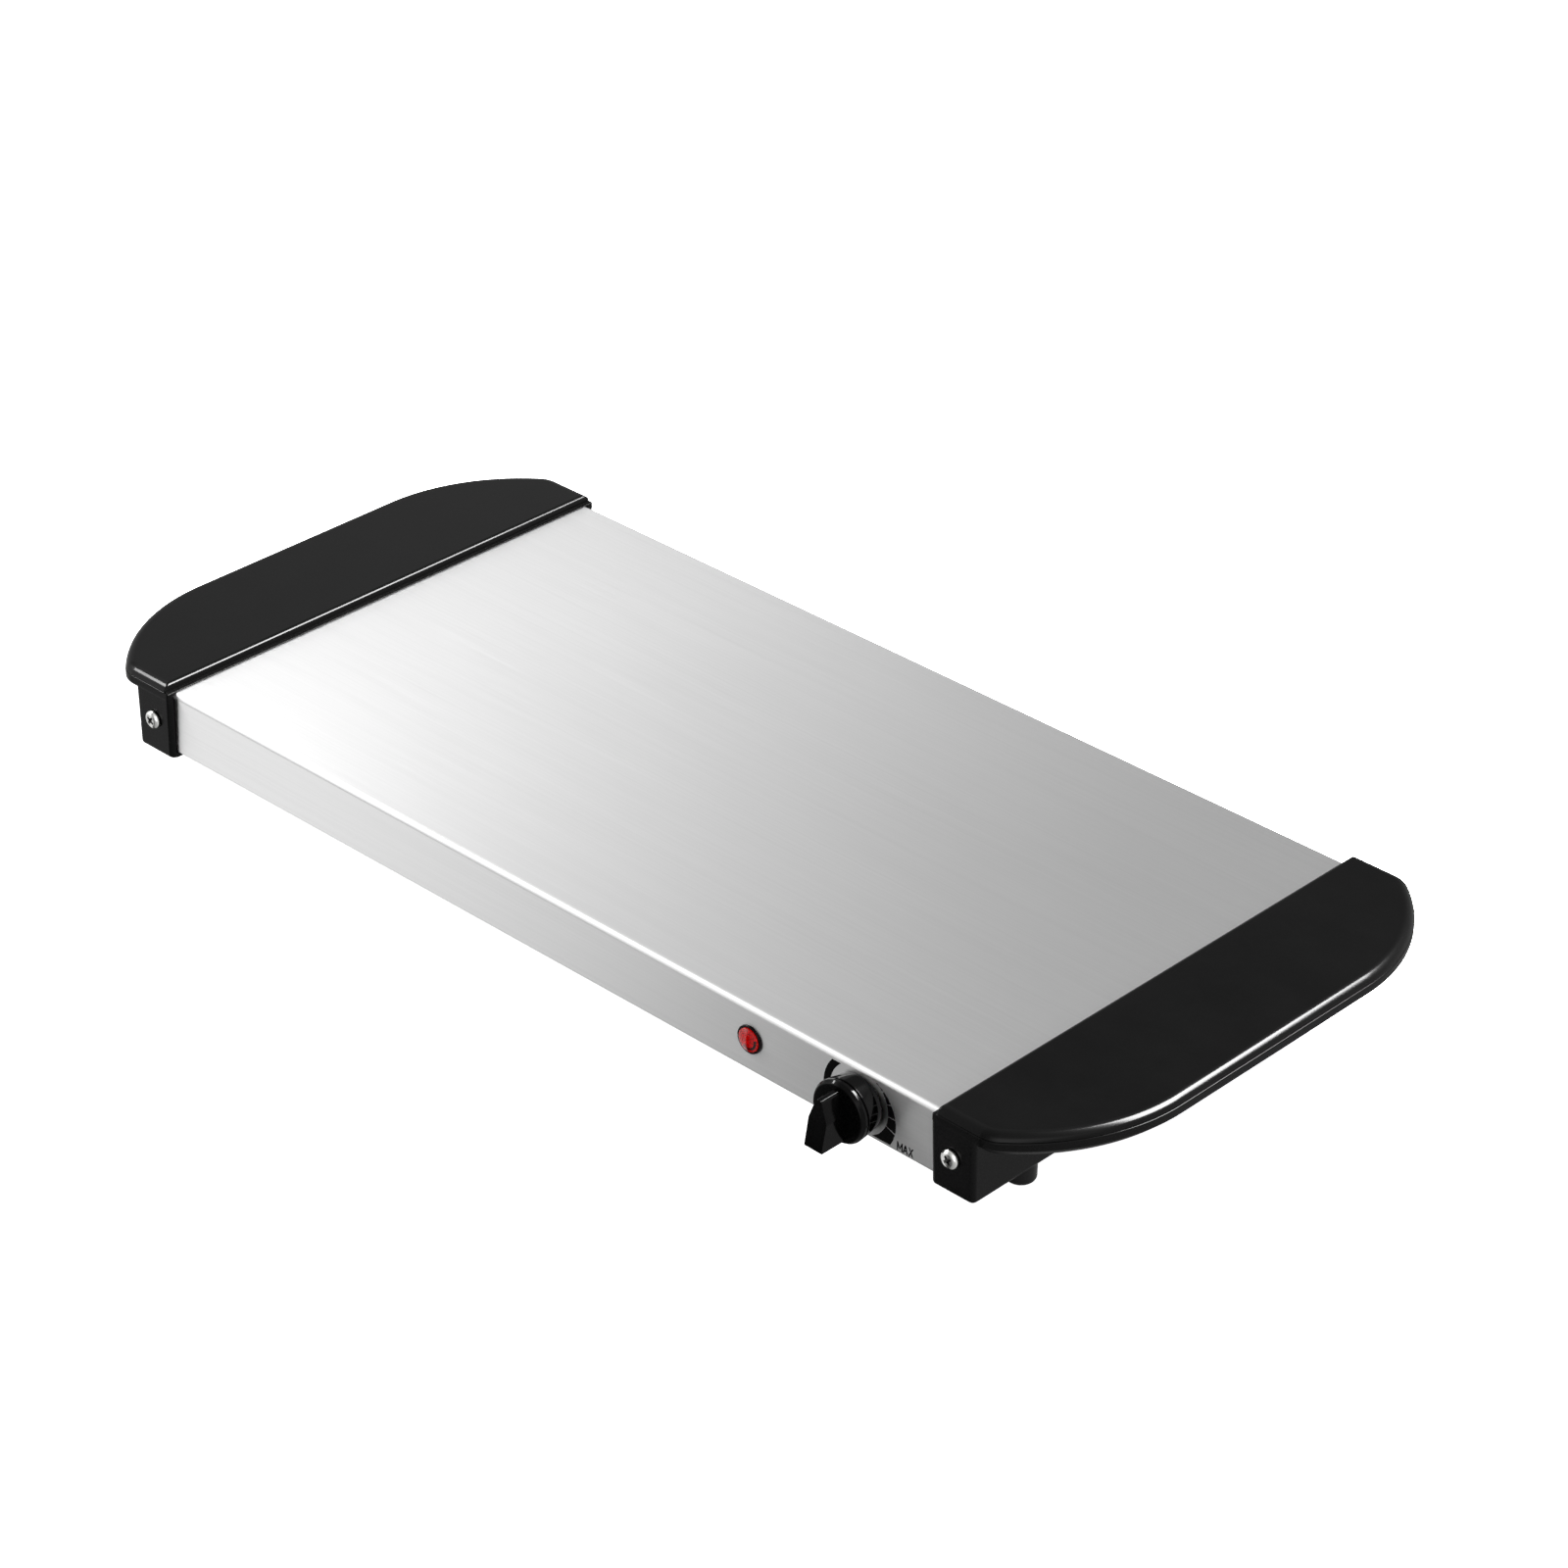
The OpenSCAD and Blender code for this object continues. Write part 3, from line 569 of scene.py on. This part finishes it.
def cap(name, s):
    rows = [level(grip(3.2, 3.2, 0.9, s), 2.35), level(grip(3.2, 3.2, 0.9, s), 0.85),
            level(grip(0.85, 0.95, 0.9, s), 0.85), level(grip(0.42, 0.66, 0.9, s), 1.0)]
    r, zc = 5.17, -0.6
    for k in range(12):
        a = math.radians(19.5 + (88.5 - 19.5) * k / 11)
        z = zc + r * math.sin(a)
        ins = r - r * math.cos(a)
        if z < 2.2:
            inn = 0.62
        else:
            u = min(1.0, (z - 2.2) / (4.57 - 2.2))
            inn = 0.62 + 2.35 * (1 - math.sqrt(max(0.0, 1 - u * u)))
        rows.append(level(grip(ins, inn, 0.9, s), z))
    rows.append(level(grip(r, 2.97, 0.9, s), 4.57))
    rows.append(level(grip(r + 0.8, 3.7, 0.9, s), 4.57))
    ob = put(name, loft(rows))
    ob.data.materials.append(CAP)
    smooth(ob, 40)
    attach(ob, "tray")
    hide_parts(name.replace("_moulding", ""))
    return ob


def shell(name, s):
    rows = [level(grip(i, n, 0.9, s), z) for i, n, z in (
        (6.4, 1.2, -8.0), (5.6, 0.4, -8.0), (4.9, 0.0, -7.86), (4.3, 0.0, -7.5), (3.6, 0.0, -6.85), (2.3, 0.0, -5.55),
        (1.1, 0.0, -4.42), (0.62, 0.0, -4.0), (0.28, 0.0, -3.62), (0.08, 0.0, -3.25), (0.0, -1.5, -2.8), (0.0, -1.5, -1.6),
        (0.0, -1.5, 0.15), (0.04, -1.46, 0.3), (0.10, -1.34, 0.42), (0.18, -1.1, 0.5), (0.2, 0.55, 0.5), (0.32, 0.6, 0.66),
        (0.62, 0.65, 0.8), (0.8, 0.8, 0.85))]
    ob = put(name, loft(rows))
    # end wall with its two legs
    prows = []
    for z, ins in ((-LEG, 1.3), (-LEG + 0.12, 0.75), (-LEG + 0.45, 0.32), (-LEG + 1.1, 0.05), (-LEG + 1.6, 0.0), (-18, 0.0), (-2.4, 0.0)):
        t = (z + LEG) / LEG
        y = YH - 0.04 - 1.0 * (1 - t) - ins
        x1 = 272.65 - ins
        rin = 1.1 + 1.5 * (1 - t)
        xi = HX - 1.6
        pts = [(xi, -y, rin), (x1, -y, 2.2), (x1, y, 2.2), (xi, y, rin)]
        prows.append(level([(s * a, b) for a, b in rounded(pts, 6)], z))
    cut(ob, loft(prows), "UNION")
    lo, hi = sorted((s * (HX - 12), s * 269.6))
    cut(ob, box(lo, hi, -HY - 0.2, HY + 0.2, -33.3, 0.05))
    # hollow grip, closed below
    ho = [(x, y) for x, y in grip(3.0, 0, 0.9, 1) if x > 273.5]
    ho = [(272.65, -YH + 3)] + ho + [(272.65, YH - 3)]
    cut(ob, loft([level([(s * x, y) for x, y in ho], z) for z in (-5.6, 3.0)]))
    for x, y in ((HX + 46, 0), (HX + 40, 76), (HX + 40, -76)):
        cut(ob, revolve([(0, -12), (3.6, -12), (3.6, -8.05), (3.35, -7.8), (3.35, -6.8), (1.7, -6.8), (1.7, -4), (0, -4)],
                        upright(s * x, y, 0), 32))
    for y in (-102.4, 102.4):
        cut(ob, revolve([(0, -40), (1.7, -40), (1.7, -30), (0, -30)], upright(s * 264.4, y, 0), 24))
    for y in (-1, 1):
        place = on_front(s * (HX + 10), -17.4) if y < 0 else on_back(s * (HX + 10), -17.4)
        cut(ob, revolve([(0, -3), (2.1, -3), (2.1, 8), (0, 8)], place, 24))
    ob.data.materials.append(SHELL)
    smooth(ob, 32)
    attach(ob, "tray")
    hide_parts(name.replace("_moulding", ""))
    return ob


# ---------------------------------------------------------------- screws

def screw_mesh(head_r, hh, shank_r, length, rec_r, rec_d, place, turn):
    """Pan head along +height with a cross recess, its shank below; the recess faces are painted dark as shade."""
    prof = [(0, -length), (shank_r - 0.4, -length), (shank_r, -length + 0.5), (shank_r, 0.0), (head_r - 0.15, 0.0),
            (head_r, 0.15), (head_r, hh * 0.22)]
    for k in range(1, 9):
        a = math.radians(90 * k / 9)
        prof.append((head_r * (0.52 + 0.48 * math.cos(a)), hh * (0.22 + 0.74 * math.sin(a))))
    prof += [(head_r * 0.5, hh * 0.965), (head_r * 0.25, hh), (0, hh)]
    here = upright(0, 0, 0)
    ob = put("screw_tmp", revolve(prof, here, 40))
    c, sn = math.cos(turn), math.sin(turn)

    def turned(a, b, h):
        return here(a * c - b * sn, a * sn + b * c, h)
    for k in range(2):
        w0, w1 = 0.27 * rec_r, 0.16 * rec_r
        l0, l1 = rec_r, rec_r * 0.5
        lo, hi = [], []
        for a, b in ((-1, -1), (1, -1), (1, 1), (-1, 1)):
            p0 = (a * l1, b * w1) if k == 0 else (b * w1, a * l1)
            p1 = (a * l0, b * w0) if k == 0 else (b * w0, a * l0)
            lo.append(turned(*p0, hh - rec_d))
            hi.append(turned(*p1, hh + 0.2))
        cut(ob, loft([lo, hi]))
    cut(ob, revolve([(0, hh - rec_d * 1.15), (rec_r * 0.36, hh - rec_d), (rec_r * 0.56, hh + 0.2), (0, hh + 0.2)], turned, 8))
    me = ob.data
    me.materials.append(SCREW)
    me.materials.append(RECESS_SHADE)
    o = W((0, 0, 0))
    # faces inside the cross recess take the near-black zinc: painted shade
    for poly in me.polygons:
        q = (poly.center - o) * 1000
        if math.hypot(q.x, q.y) < rec_r * 0.93 and hh - rec_d * 1.2 < q.z < hh - 0.1 and poly.normal.z < 0.93 and q.z > 0:
            poly.material_index = 1
        if q.z > 0 and math.hypot(q.x, q.y) < rec_r * 0.6 and q.z < hh - 0.25:
            poly.material_index = 1
    for v in me.vertices:
        q = (v.co - o) * 1000
        v.co = W(place(q.x, q.y, q.z))
    bm = bmesh.new()
    bm.from_mesh(me)
    bmesh.ops.recalc_face_normals(bm, faces=bm.faces)
    bm.to_mesh(me)
    bm.free()
    bpy.data.objects.remove(ob)
    return me


def screws(name, node_name, spots, head_r, hh, shank_r, length, rec_r, rec_d):
    meshes = [screw_mesh(head_r, hh, shank_r, length, rec_r, rec_d, place, turn) for place, turn in spots]
    ob = joined(name, meshes)
    ob.data.materials.append(SCREW)
    ob.data.materials.append(RECESS_SHADE)
    smooth(ob, 35)
    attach(ob, "tray")
    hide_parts(node_name)
    return ob


def all_screws():
    legs = []
    for i, (sx, front, turn) in enumerate(((1, True, 0.62), (-1, True, 0.95), (1, False, 0.3), (-1, False, 1.2))):
        x = sx * (HX + 10)
        z = -17.4
        if front:
            place = (lambda x: lambda a, b, h: (x + a, -YH - h, z + b))(x)
        else:
            place = (lambda x: lambda a, b, h: (x + a, YH + h, z + b))(x)
        legs.append((place, turn))
    screws("leg_screws", "handle_screws", legs, 4.7, 2.3, 1.9, 13, 2.5, 1.9)
    caps = [(downwards(sx * x, y, -6.8), 0.4 + 0.37 * x + y) for sx in (1, -1)
            for x, y in ((HX + 46, 0), (HX + 40, 76), (HX + 40, -76))]
    # heads sit in the counterbores, 1.8 deep below -6.8
    screws("cap_fixing_screws", "cap_screws", caps, 3.0, 1.15, 1.5, 6.8, 1.6, 0.9)
    base = [(downwards(x, y, -33.9), 0.11 * x + y) for x in (-225, -75, 75, 225) for y in (-HY + 6.5, HY - 6.5)]
    screws("base_fixing_screws", "base_screws", base, 2.9, 1.7, 1.5, 6, 1.6, 1.3)
    feet = [(downwards(sx * 264.4, sy * 102.4, -TOP + 3.2), 0.5 * sx + sy) for sx in (1, -1) for sy in (1, -1)]
    screws("foot_fixing_screws", "foot_screws", feet, 3.2, 2.0, 1.7, 14, 1.7, 1.4)


# ---------------------------------------------------------------- feet, bush

def feet():
    prof = rounded([(1.8, 3.2), (3.5, 3.2, 0.3), (3.5, 0.0, 0.5), (7.3, 0.0, 2.4), (7.3, 10.14), (1.8, 10.14)], 9)
    ms = [revolve(prof, upright(sx * 264.4, sy * 102.4, -TOP), 72, closed=True) for sx in (1, -1) for sy in (1, -1)]
    ob = joined("rubber_feet", ms)
    ob.data.materials.append(FOOT)
    smooth(ob, 40)
    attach(ob, "tray")
    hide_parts("feet")


def bush():
    prof = rounded([(3.6, -11.8, 0.5), (5.4, -11.8, 0.4), (6.0, -3.2), (7.6, -3.2, 0.3), (7.6, -0.82, 0.2), (6.0, -0.8), (6.0, 0.0),
                    (8.5, 0.0, 0.3), (8.5, 2.0, 1.1), (3.6, 2.0, 0.9)], 6)
    ob = put("cord_bush", revolve(prof, on_back(*GLAND), 72, closed=True))
    ob.data.materials.append(RUBBER)
    smooth(ob, 40)
    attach(ob, "tray")
    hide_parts("cord_gland")


# ---------------------------------------------------------------- knob, dial, lamp

def knob():
    P = on_front(*KNOB)
    prof = rounded([(0, 14.3), (14.1, 14.3, 0.9), (15.2, 12.6, 0.7), (15.1, 11.1, 0.25), (14.15, 11.0, 0.12), (14.15, 10.2, 0.12),
                    (15.0, 10.0, 0.35), (13.8, 1.0, 0.5), (11.3, 1.0, 0.2), (11.3, 9.0), (5.4, 9.0), (5.4, 5.4), (0, 5.4)], 6, closed=False)
    ob = put("pointer_knob", revolve(prof, P, 128))
    front = rounded([(-1.1, 12.3, 0.35), (1.1, 12.3, 0.35), (1.95, 11.4, 0.6), (5.25, 2.0, 3.0), (5.1, -12.2, 0.9), (-5.1, -12.2, 0.9),
                     (-5.25, 2.0, 3.0), (-1.95, 11.4, 0.6)], 4)
    side = [(-13, 13.2), (13, 13.2), (13, 25.9, 0.0), (2, 26.5, 12.0), (-11.4, 29.1, 0.7), (-12.9, 27.6, 0.0)]
    bar = put("bar", prism(front, P, 10.0, 32.0))
    side_p = rounded(side, 5)
    tool = loft([[P(a, u, h) for u, h in side_p] for a in (-9, 9)])
    cut(bar, tool, "INTERSECT")
    bevel(bar, 0.5, 4, 28)
    cut(ob, bar, "UNION")
    bore = [(3.03 * math.cos(a), 3.03 * math.sin(a)) for a in [math.radians(90 - 59.5 - 3) - math.radians(k * 300 / 32) for k in range(33)]]
    cut(ob, prism([(a, b) for a, b in bore if b < 1.53] , P, 4.0, 16.6))
    ob.data.materials.append(GLOSS)
    smooth(ob, 30)
    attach(ob, "knob")
    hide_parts("knob")
    return ob


def solid_print(name, polygons, place, thick=0.04, lift=0.0):
    """Flat ink shapes, a hair proud of the wall, from simple polygons that share their edges."""
    bm = bmesh.new()
    for poly in polygons:
        vs = [bm.verts.new(W(place(a, b, lift))) for a, b in poly]
        bm.faces.new(vs)
    bmesh.ops.remove_doubles(bm, verts=bm.verts, dist=1e-6)
    res = bmesh.ops.extrude_face_region(bm, geom=list(bm.faces))
    d = W(place(0, 0, thick)) - W(place(0, 0, 0))
    for v in res["geom"]:
        if isinstance(v, bmesh.types.BMVert):
            v.co += d
    bmesh.ops.recalc_face_normals(bm, faces=bm.faces)
    me = bpy.data.meshes.new(name)
    bm.to_mesh(me)
    bm.free()
    ob = put(name, me)
    me.materials.append(INK)
    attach(ob, "tray")
    return ob


def clip(poly, zmax, zmin):
    for sign, lim in ((1, zmax), (-1, -zmin)):
        out = []
        for i, p in enumerate(poly):
            q = poly[(i + 1) % len(poly)]
            a, b = sign * p[1] <= lim, sign * q[1] <= lim
            if a:
                out.append(p)
            if a != b:
                t = (lim - sign * p[1]) / (sign * q[1] - sign * p[1])
                out.append((p[0] + t * (q[0] - p[0]), p[1] + t * (q[1] - p[1])))
        poly = out
    return poly


def dial():
    P = on_front(*KNOB)

    def at(r, deg):
        a = math.radians(deg)
        return (r * math.sin(a), r * math.cos(a))

    def outer(deg):
        a = math.radians(deg)
        d = 1.9 * math.sin(a) - 4.5 * math.cos(a)
        return d + math.sqrt(d * d - 23.86 + 19.1 ** 2)
    shapes = []
    # even band on the low side
    n = 44
    band = [at(17.5, -33 - 92 * k / n) for k in range(n + 1)] + [at(21.2, -125 + 92 * k / n) for k in range(n + 1)]
    shapes.append(clip(band, 13.3, -14.6))
    # blocks that grow towards the high end
    stops = [(33.0, 50.0), (52.0, 71.2), (73.1, 91.2), (93.0, 110.3), (112.0, 152.0)]
    for a0, a1 in stops:
        m = 24
        blk = [at(16.5, a0 + (a1 - a0) * k / m) for k in range(m + 1)]
        blk += [at(outer(a1 - (a1 - a0) * k / m), a1 - (a1 - a0) * k / m) for k in range(m + 1)]
        shapes.append(clip(blk, 13.3, -14.6))
    solid_print("dial_print", shapes, P)

    # the word MAX, in plain strokes
    h, s = 4.4, 0.68
    x0, z0 = 22.1, -14.85

    def letter(polys, x):
        return [[(x0 + x + a, z0 + b) for a, b in p] for p in polys]
    w = 3.25
    mm = [[(0, 0), (s, 0), (s, h - 1.75), (w / 2, 0.45), (w - s, h - 1.75), (w - s, 0), (w, 0), (w, h), (w - 0.62, h),
           (w / 2, 1.75), (0.62, h), (0, h)]]
    wa, c, yb = 3.0, 1.5, 1.15
    slope = (wa / 2 - s / 2) / h

    def xin(y):
        return s * 1.08 + slope * y

    ytop = (c - s * 1.08) / slope
    left = [(0, 0), (s * 1.08, 0), (xin(yb), yb), (c, yb), (c, yb + s), (xin(yb + s), yb + s), (c, ytop), (c, h), (c - s / 2, h)]
    right = [(wa - a, b) for a, b in reversed(left)]
    aa = [left, right]
    wx = 2.9
    k = 0.84
    xx = [[(0, 0), (k, 0), (wx / 2, h / 2 - 0.52), (wx - k, 0), (wx, 0), (wx / 2 + 0.33, h / 2), (wx, h), (wx - k, h),
           (wx / 2, h / 2 + 0.52), (k, h), (0, h), (wx / 2 - 0.33, h / 2)]]
    solid_print("dial_word", letter(mm, 0) + letter(aa, 3.32) + letter(xx, 6.55), P)


def lamp():
    P = on_front(*LAMP)
    # dark rim and tube
    rim = revolve(rounded([(4.3, -11.0), (5.4, -11.0, 0.3), (5.4, 0.0), (7.0, 0.0, 0.2), (7.0, 1.0, 0.4), (6.15, 1.2, 0.2),
                           (5.9, 0.3), (4.3, 0.3)], 6), P, 96, closed=True)
    # faceted heart under the dome
    n = 48
    rings = [(0.0, 1.05, 0), (1.1, 1.2, 0), (1.4, 1.05, 0), (2.3, 1.2, 0), (2.6, 1.05, 0), (3.5, 1.2, 0), (3.8, 1.0, 0), (4.7, 1.0, 0), (4.9, 1.1, 0), (5.75, 0.9, 0)]
    verts, idx = [], []
    for r, d, ph in rings:
        if r == 0:
            idx.append([len(verts)] * n)
            verts.append(P(0, 0, d))
        else:
            idx.append([len(verts) + k for k in range(n)])
            for k in range(n):
                a = 2 * PI * (k + 0.5 * ph) / n
                verts.append(P(r * math.cos(a), r * math.sin(a), d))
    faces = []
    for i in range(len(rings) - 1):
        a, b = idx[i], idx[i + 1]
        sh = rings[i][2] - rings[i + 1][2]
        for k in range(n):
            k2 = (k + 1) % n
            if len(set(a)) == 1:
                faces.append([a[0], b[k], b[k2]])
            elif sh > 0:      # inner ring is half a step ahead
                faces.append([a[k], b[k], b[k2]])
                faces.append([a[k], b[k2], a[k2]])
            elif sh < 0:
                faces.append([a[k], b[k], a[k2]])
                faces.append([a[k2], b[k], b[k2]])
            else:
                faces.append([a[k], b[k], b[k2], a[k2]])
    back = [len(verts) + k for k in range(n)]
    for k in range(n):
        a = 2 * PI * k / n
        verts.append(P(5.75 * math.cos(a), 5.75 * math.sin(a), 0.2))
    for k in range(n):
        faces.append([idx[-1][k], idx[-1][(k + 1) % n], back[(k + 1) % n], back[k]])
    faces.append(back)
    core = raw(verts, faces)
    # clear dome
    dome = [(0, 2.7)]
    for k in range(1, 17):
        a = math.radians(25.6 * k / 16)
        dome.append((13.5 * math.sin(a), 13.5 * math.cos(a) - 10.8))
    dome += [(5.84, 0.6), (0, 0.6)]
    top = revolve(dome, P, 96)
    obs = []
    for nm, me, mat, ang in (("lens_rim", rim, RIM_AND_SHADOW, 40), ("lens_facets", core, CORE_PAINTED_LIGHT, 5), ("lens_dome", top, LENS, 40)):
        ob = put(nm, me)
        me.materials.append(mat)
        if mat is CORE_PAINTED_LIGHT:
            me.materials.append(RIM_AND_SHADOW)
            # a crescent of facets on the lower right takes the dark rim colour: a painted shadow, not a groove
            c = W(P(0, 0, 0))
            for poly in me.polygons:
                q = (poly.center - c) * 1000
                a = math.degrees(math.atan2(q.z, q.x))
                if 3.6 < math.hypot(q.x, q.z) < 4.75 and -125 < a < 12:
                    poly.material_index = 1
        if ang > 10:
            smooth(ob, ang)
        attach(ob, "tray")
        obs.append(ob)
    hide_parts("indicator_lens")
    return obs


# ---------------------------------------------------------------- build

sheet = cover()
for s, side in ((1, "right"), (-1, "left")):
    cap(side + "_handle_cap_moulding", s)
    shell(side + "_handle_shell_moulding", s)
all_screws()
feet()
bush()
knob()
dial()
lamp()

CAD_MATERIALS = {
    "base_plate": ZINC, "clinch_nuts": SCREW, "knob_clip": SPRING, "thermostat_shaft": TURNED, "shaft_clip": SPRING,
    "adjuster_pin": CERAMIC, "thermostat_bracket": ZINC, "thermostat_nut": BRASS, "ceramic_spacers": CERAMIC,
    "stack_rivet": BRASS, "moving_contact_blade": BRONZE, "blade_terminal": BRONZE, "fixed_contact_blade": BRONZE,
    "bimetal_strip": BIMETAL, "lamp_holder": NYLON, "neon_bulb": BULB, "lamp_resistor": TAN, "heat_spreader": ALU,
    "upper_mica_sheet": MICA, "heating_ribbon": RIBBON, "mica_card": MICA, "lower_mica_sheet": MICA, "clamp_bars": ZINC,
    "clamp_studs": SCREW, "clamp_nuts": SCREW, "insulation_blanket": WOOL, "thermal_fuse": TURNED, "fuse_sleeve": SLEEVE,
    "fuse_clip": ZINC, "terminal_block": CERAMIC, "terminal_screws": BRASS, "live_wire": BROWN, "fuse_wire": BROWN,
    "heater_wire": CREAM, "neutral_wire": BLUE, "lamp_wires": BLUE, "earth_wire": EARTH, "earth_screw": BRASS,
}
for name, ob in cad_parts.items():
    if not ob.hide_render:
        ob.data.materials.clear()
        ob.data.materials.append(CAD_MATERIALS[name])


# ---------------------------------------------------------------- floor, light

def stage():
    m, nt, s = new_material("pale_floor")
    a = noise(nt, (9, 9, 9), 3)
    nt.links.new(two_tone(nt, a, (0.86, 0.86, 0.86), (0.88, 0.88, 0.88)), s.inputs["Base Color"])
    s.inputs["Roughness"].default_value = 0.9
    s.inputs["Specular IOR Level"].default_value = 0.1
    me = bpy.data.meshes.new("floor")
    r = 14.0
    me.from_pydata([(-r, -r, 0), (r, -r, 0), (r, r, 0), (-r, r, 0)], [], [(0, 1, 2, 3)])
    floor = put("floor", me)
    me.materials.append(m)
    s.inputs["Emission Color"].default_value = (1, 1, 1, 1)
    s.inputs["Emission Strength"].default_value = 0.9
    floor.visible_glossy = False

    # one big soft source on the left: brightness by the angle from -X
    world = bpy.data.worlds.new("studio")
    scene.world = world
    world.use_nodes = True
    world.cycles.sampling_method = "NONE"      # smooth, and the floor is left out of reflections
    wt = world.node_tree
    bg = wt.nodes["Background"]
    tc = wt.nodes.new("ShaderNodeTexCoord")
    sep = wt.nodes.new("ShaderNodeSeparateXYZ")
    wt.links.new(tc.outputs["Generated"], sep.inputs[0])

    def link(a, b):
        wt.links.new(a, b)

    def levels(stops):
        """Brightness by how far the direction leans to -X."""
        m = wt.nodes.new("ShaderNodeMath")
        m.operation = "MULTIPLY_ADD"
        m.inputs[1].default_value, m.inputs[2].default_value = -0.5, 0.5
        link(sep.outputs["X"], m.inputs[0])
        ramp = wt.nodes.new("ShaderNodeValToRGB")
        link(m.outputs[0], ramp.inputs["Fac"])
        els = ramp.color_ramp.elements
        els[0].position, els[1].position = (stops[0][0] + 1) / 2, (stops[-1][0] + 1) / 2
        for c, _ in stops[1:-1]:
            els.new((c + 1) / 2)
        for e, (_, v) in zip(els, stops):
            e.color = (v / 4, v / 4, v / 4, 1)
        return ramp.outputs["Color"]

    def blend(a, b, axis, v0, v1):
        """a where the axis is below v0, b above v1."""
        f = wt.nodes.new("ShaderNodeMapRange")
        f.inputs["From Min"].default_value, f.inputs["From Max"].default_value = v0, v1
        link(sep.outputs[axis], f.inputs["Value"])
        m = wt.nodes.new("ShaderNodeMix")
        m.data_type = "RGBA"
        link(f.outputs["Result"], m.inputs["Factor"])
        link(a, m.inputs[6])
        link(b, m.inputs[7])
        return m.outputs[2]
    middle = blend(levels(FRONT), levels(BACK), "Y", -0.15, 0.15)
    lower = blend(levels(LOW), middle, "Z", -0.3, -0.05)
    upper = blend(levels(OVER_FRONT), levels(OVER_BACK), "Y", -0.3, 0.0)
    link(blend(lower, upper, "Z", 0.55, 0.75), bg.inputs["Color"])
    bg.inputs["Strength"].default_value = 4.0


# brightness at each lean to -X: near the horizon and below it, in front, behind, and overhead
LOW = [(-1.0, 0.8), (-0.6, 0.6), (-0.3, 0.5), (0.0, 0.45), (0.25, 0.35), (0.42, 0.05), (0.49, 0.02), (0.55, 0.02), (0.61, 0.97), (0.66, 1.12), (0.72, 0.55), (1.0, 0.9)]
FRONT = [(-1.0, 0.7), (-0.85, 0.8), (-0.7, 2.3), (-0.6, 2.5), (-0.3, 1.8), (0.0, 0.7), (0.3, 0.45), (0.49, 0.38), (0.55, 0.93), (0.61, 1.49), (0.66, 1.94), (0.72, 2.2), (0.84, 2.0), (1.0, 0.8)]
BACK = [(-1.0, 0.9), (-0.6, 0.9), (-0.3, 0.8), (0.0, 0.55), (0.3, 0.38), (0.49, 0.29), (0.55, 0.22), (0.61, 0.56), (0.66, 0.55), (0.72, 0.5), (1.0, 0.5)]
OVER_FRONT = [(-1.0, 0.9), (-0.6, 0.9), (-0.3, 0.8), (0.0, 0.6), (0.3, 0.56), (0.49, 0.55), (0.55, 0.74), (0.61, 0.89), (0.66, 0.98), (0.72, 1.02), (1.0, 1.02)]
OVER_BACK = [(-1.0, 0.9), (-0.6, 0.9), (-0.3, 0.8), (0.0, 0.6), (0.3, 0.66), (0.49, 0.69), (0.55, 0.74), (0.61, 1.44), (0.66, 1.8), (0.72, 1.3), (1.0, 1.3)]


def softbox(name, pos, at, size, radiance, roll=0.0):
    d = bpy.data.lights.new(name, "AREA")
    d.shape, d.size, d.size_y = "RECTANGLE", size[0], size[1]
    d.energy = radiance * size[0] * size[1] * PI
    ob = bpy.data.objects.new(name, d)
    scene.collection.objects.link(ob)
    ob.location = pos
    turn = (Vector(at) - Vector(pos)).to_track_quat("-Z", "Y") @ Quaternion((0, 0, 1), math.radians(roll))
    ob.rotation_euler = turn.to_euler()
    return ob


stage()
softbox("upper_left", (-1.13, -0.49, 0.96), (-0.2, -0.1, 0.0), (0.5, 0.14), 52.0, -31.3)
broad = softbox("broad_right", (0.95, 1.08, 1.6), (0.95, 1.08, 0.0), (1.2, 1.05), 90.0)

# it draws the highlights on the mouldings; the sheet itself takes its light from the world
unlit = bpy.data.collections.new("sheet_steel")
unlit.objects.link(sheet)
unlit.collection_objects[0].light_linking.link_state = "EXCLUDE"
broad.light_linking.receiver_collection = unlit

scene.view_settings.view_transform = "Standard"
scene.view_settings.look = "None"
scene.view_settings.exposure = 0.0
scene.view_settings.gamma = 1.0
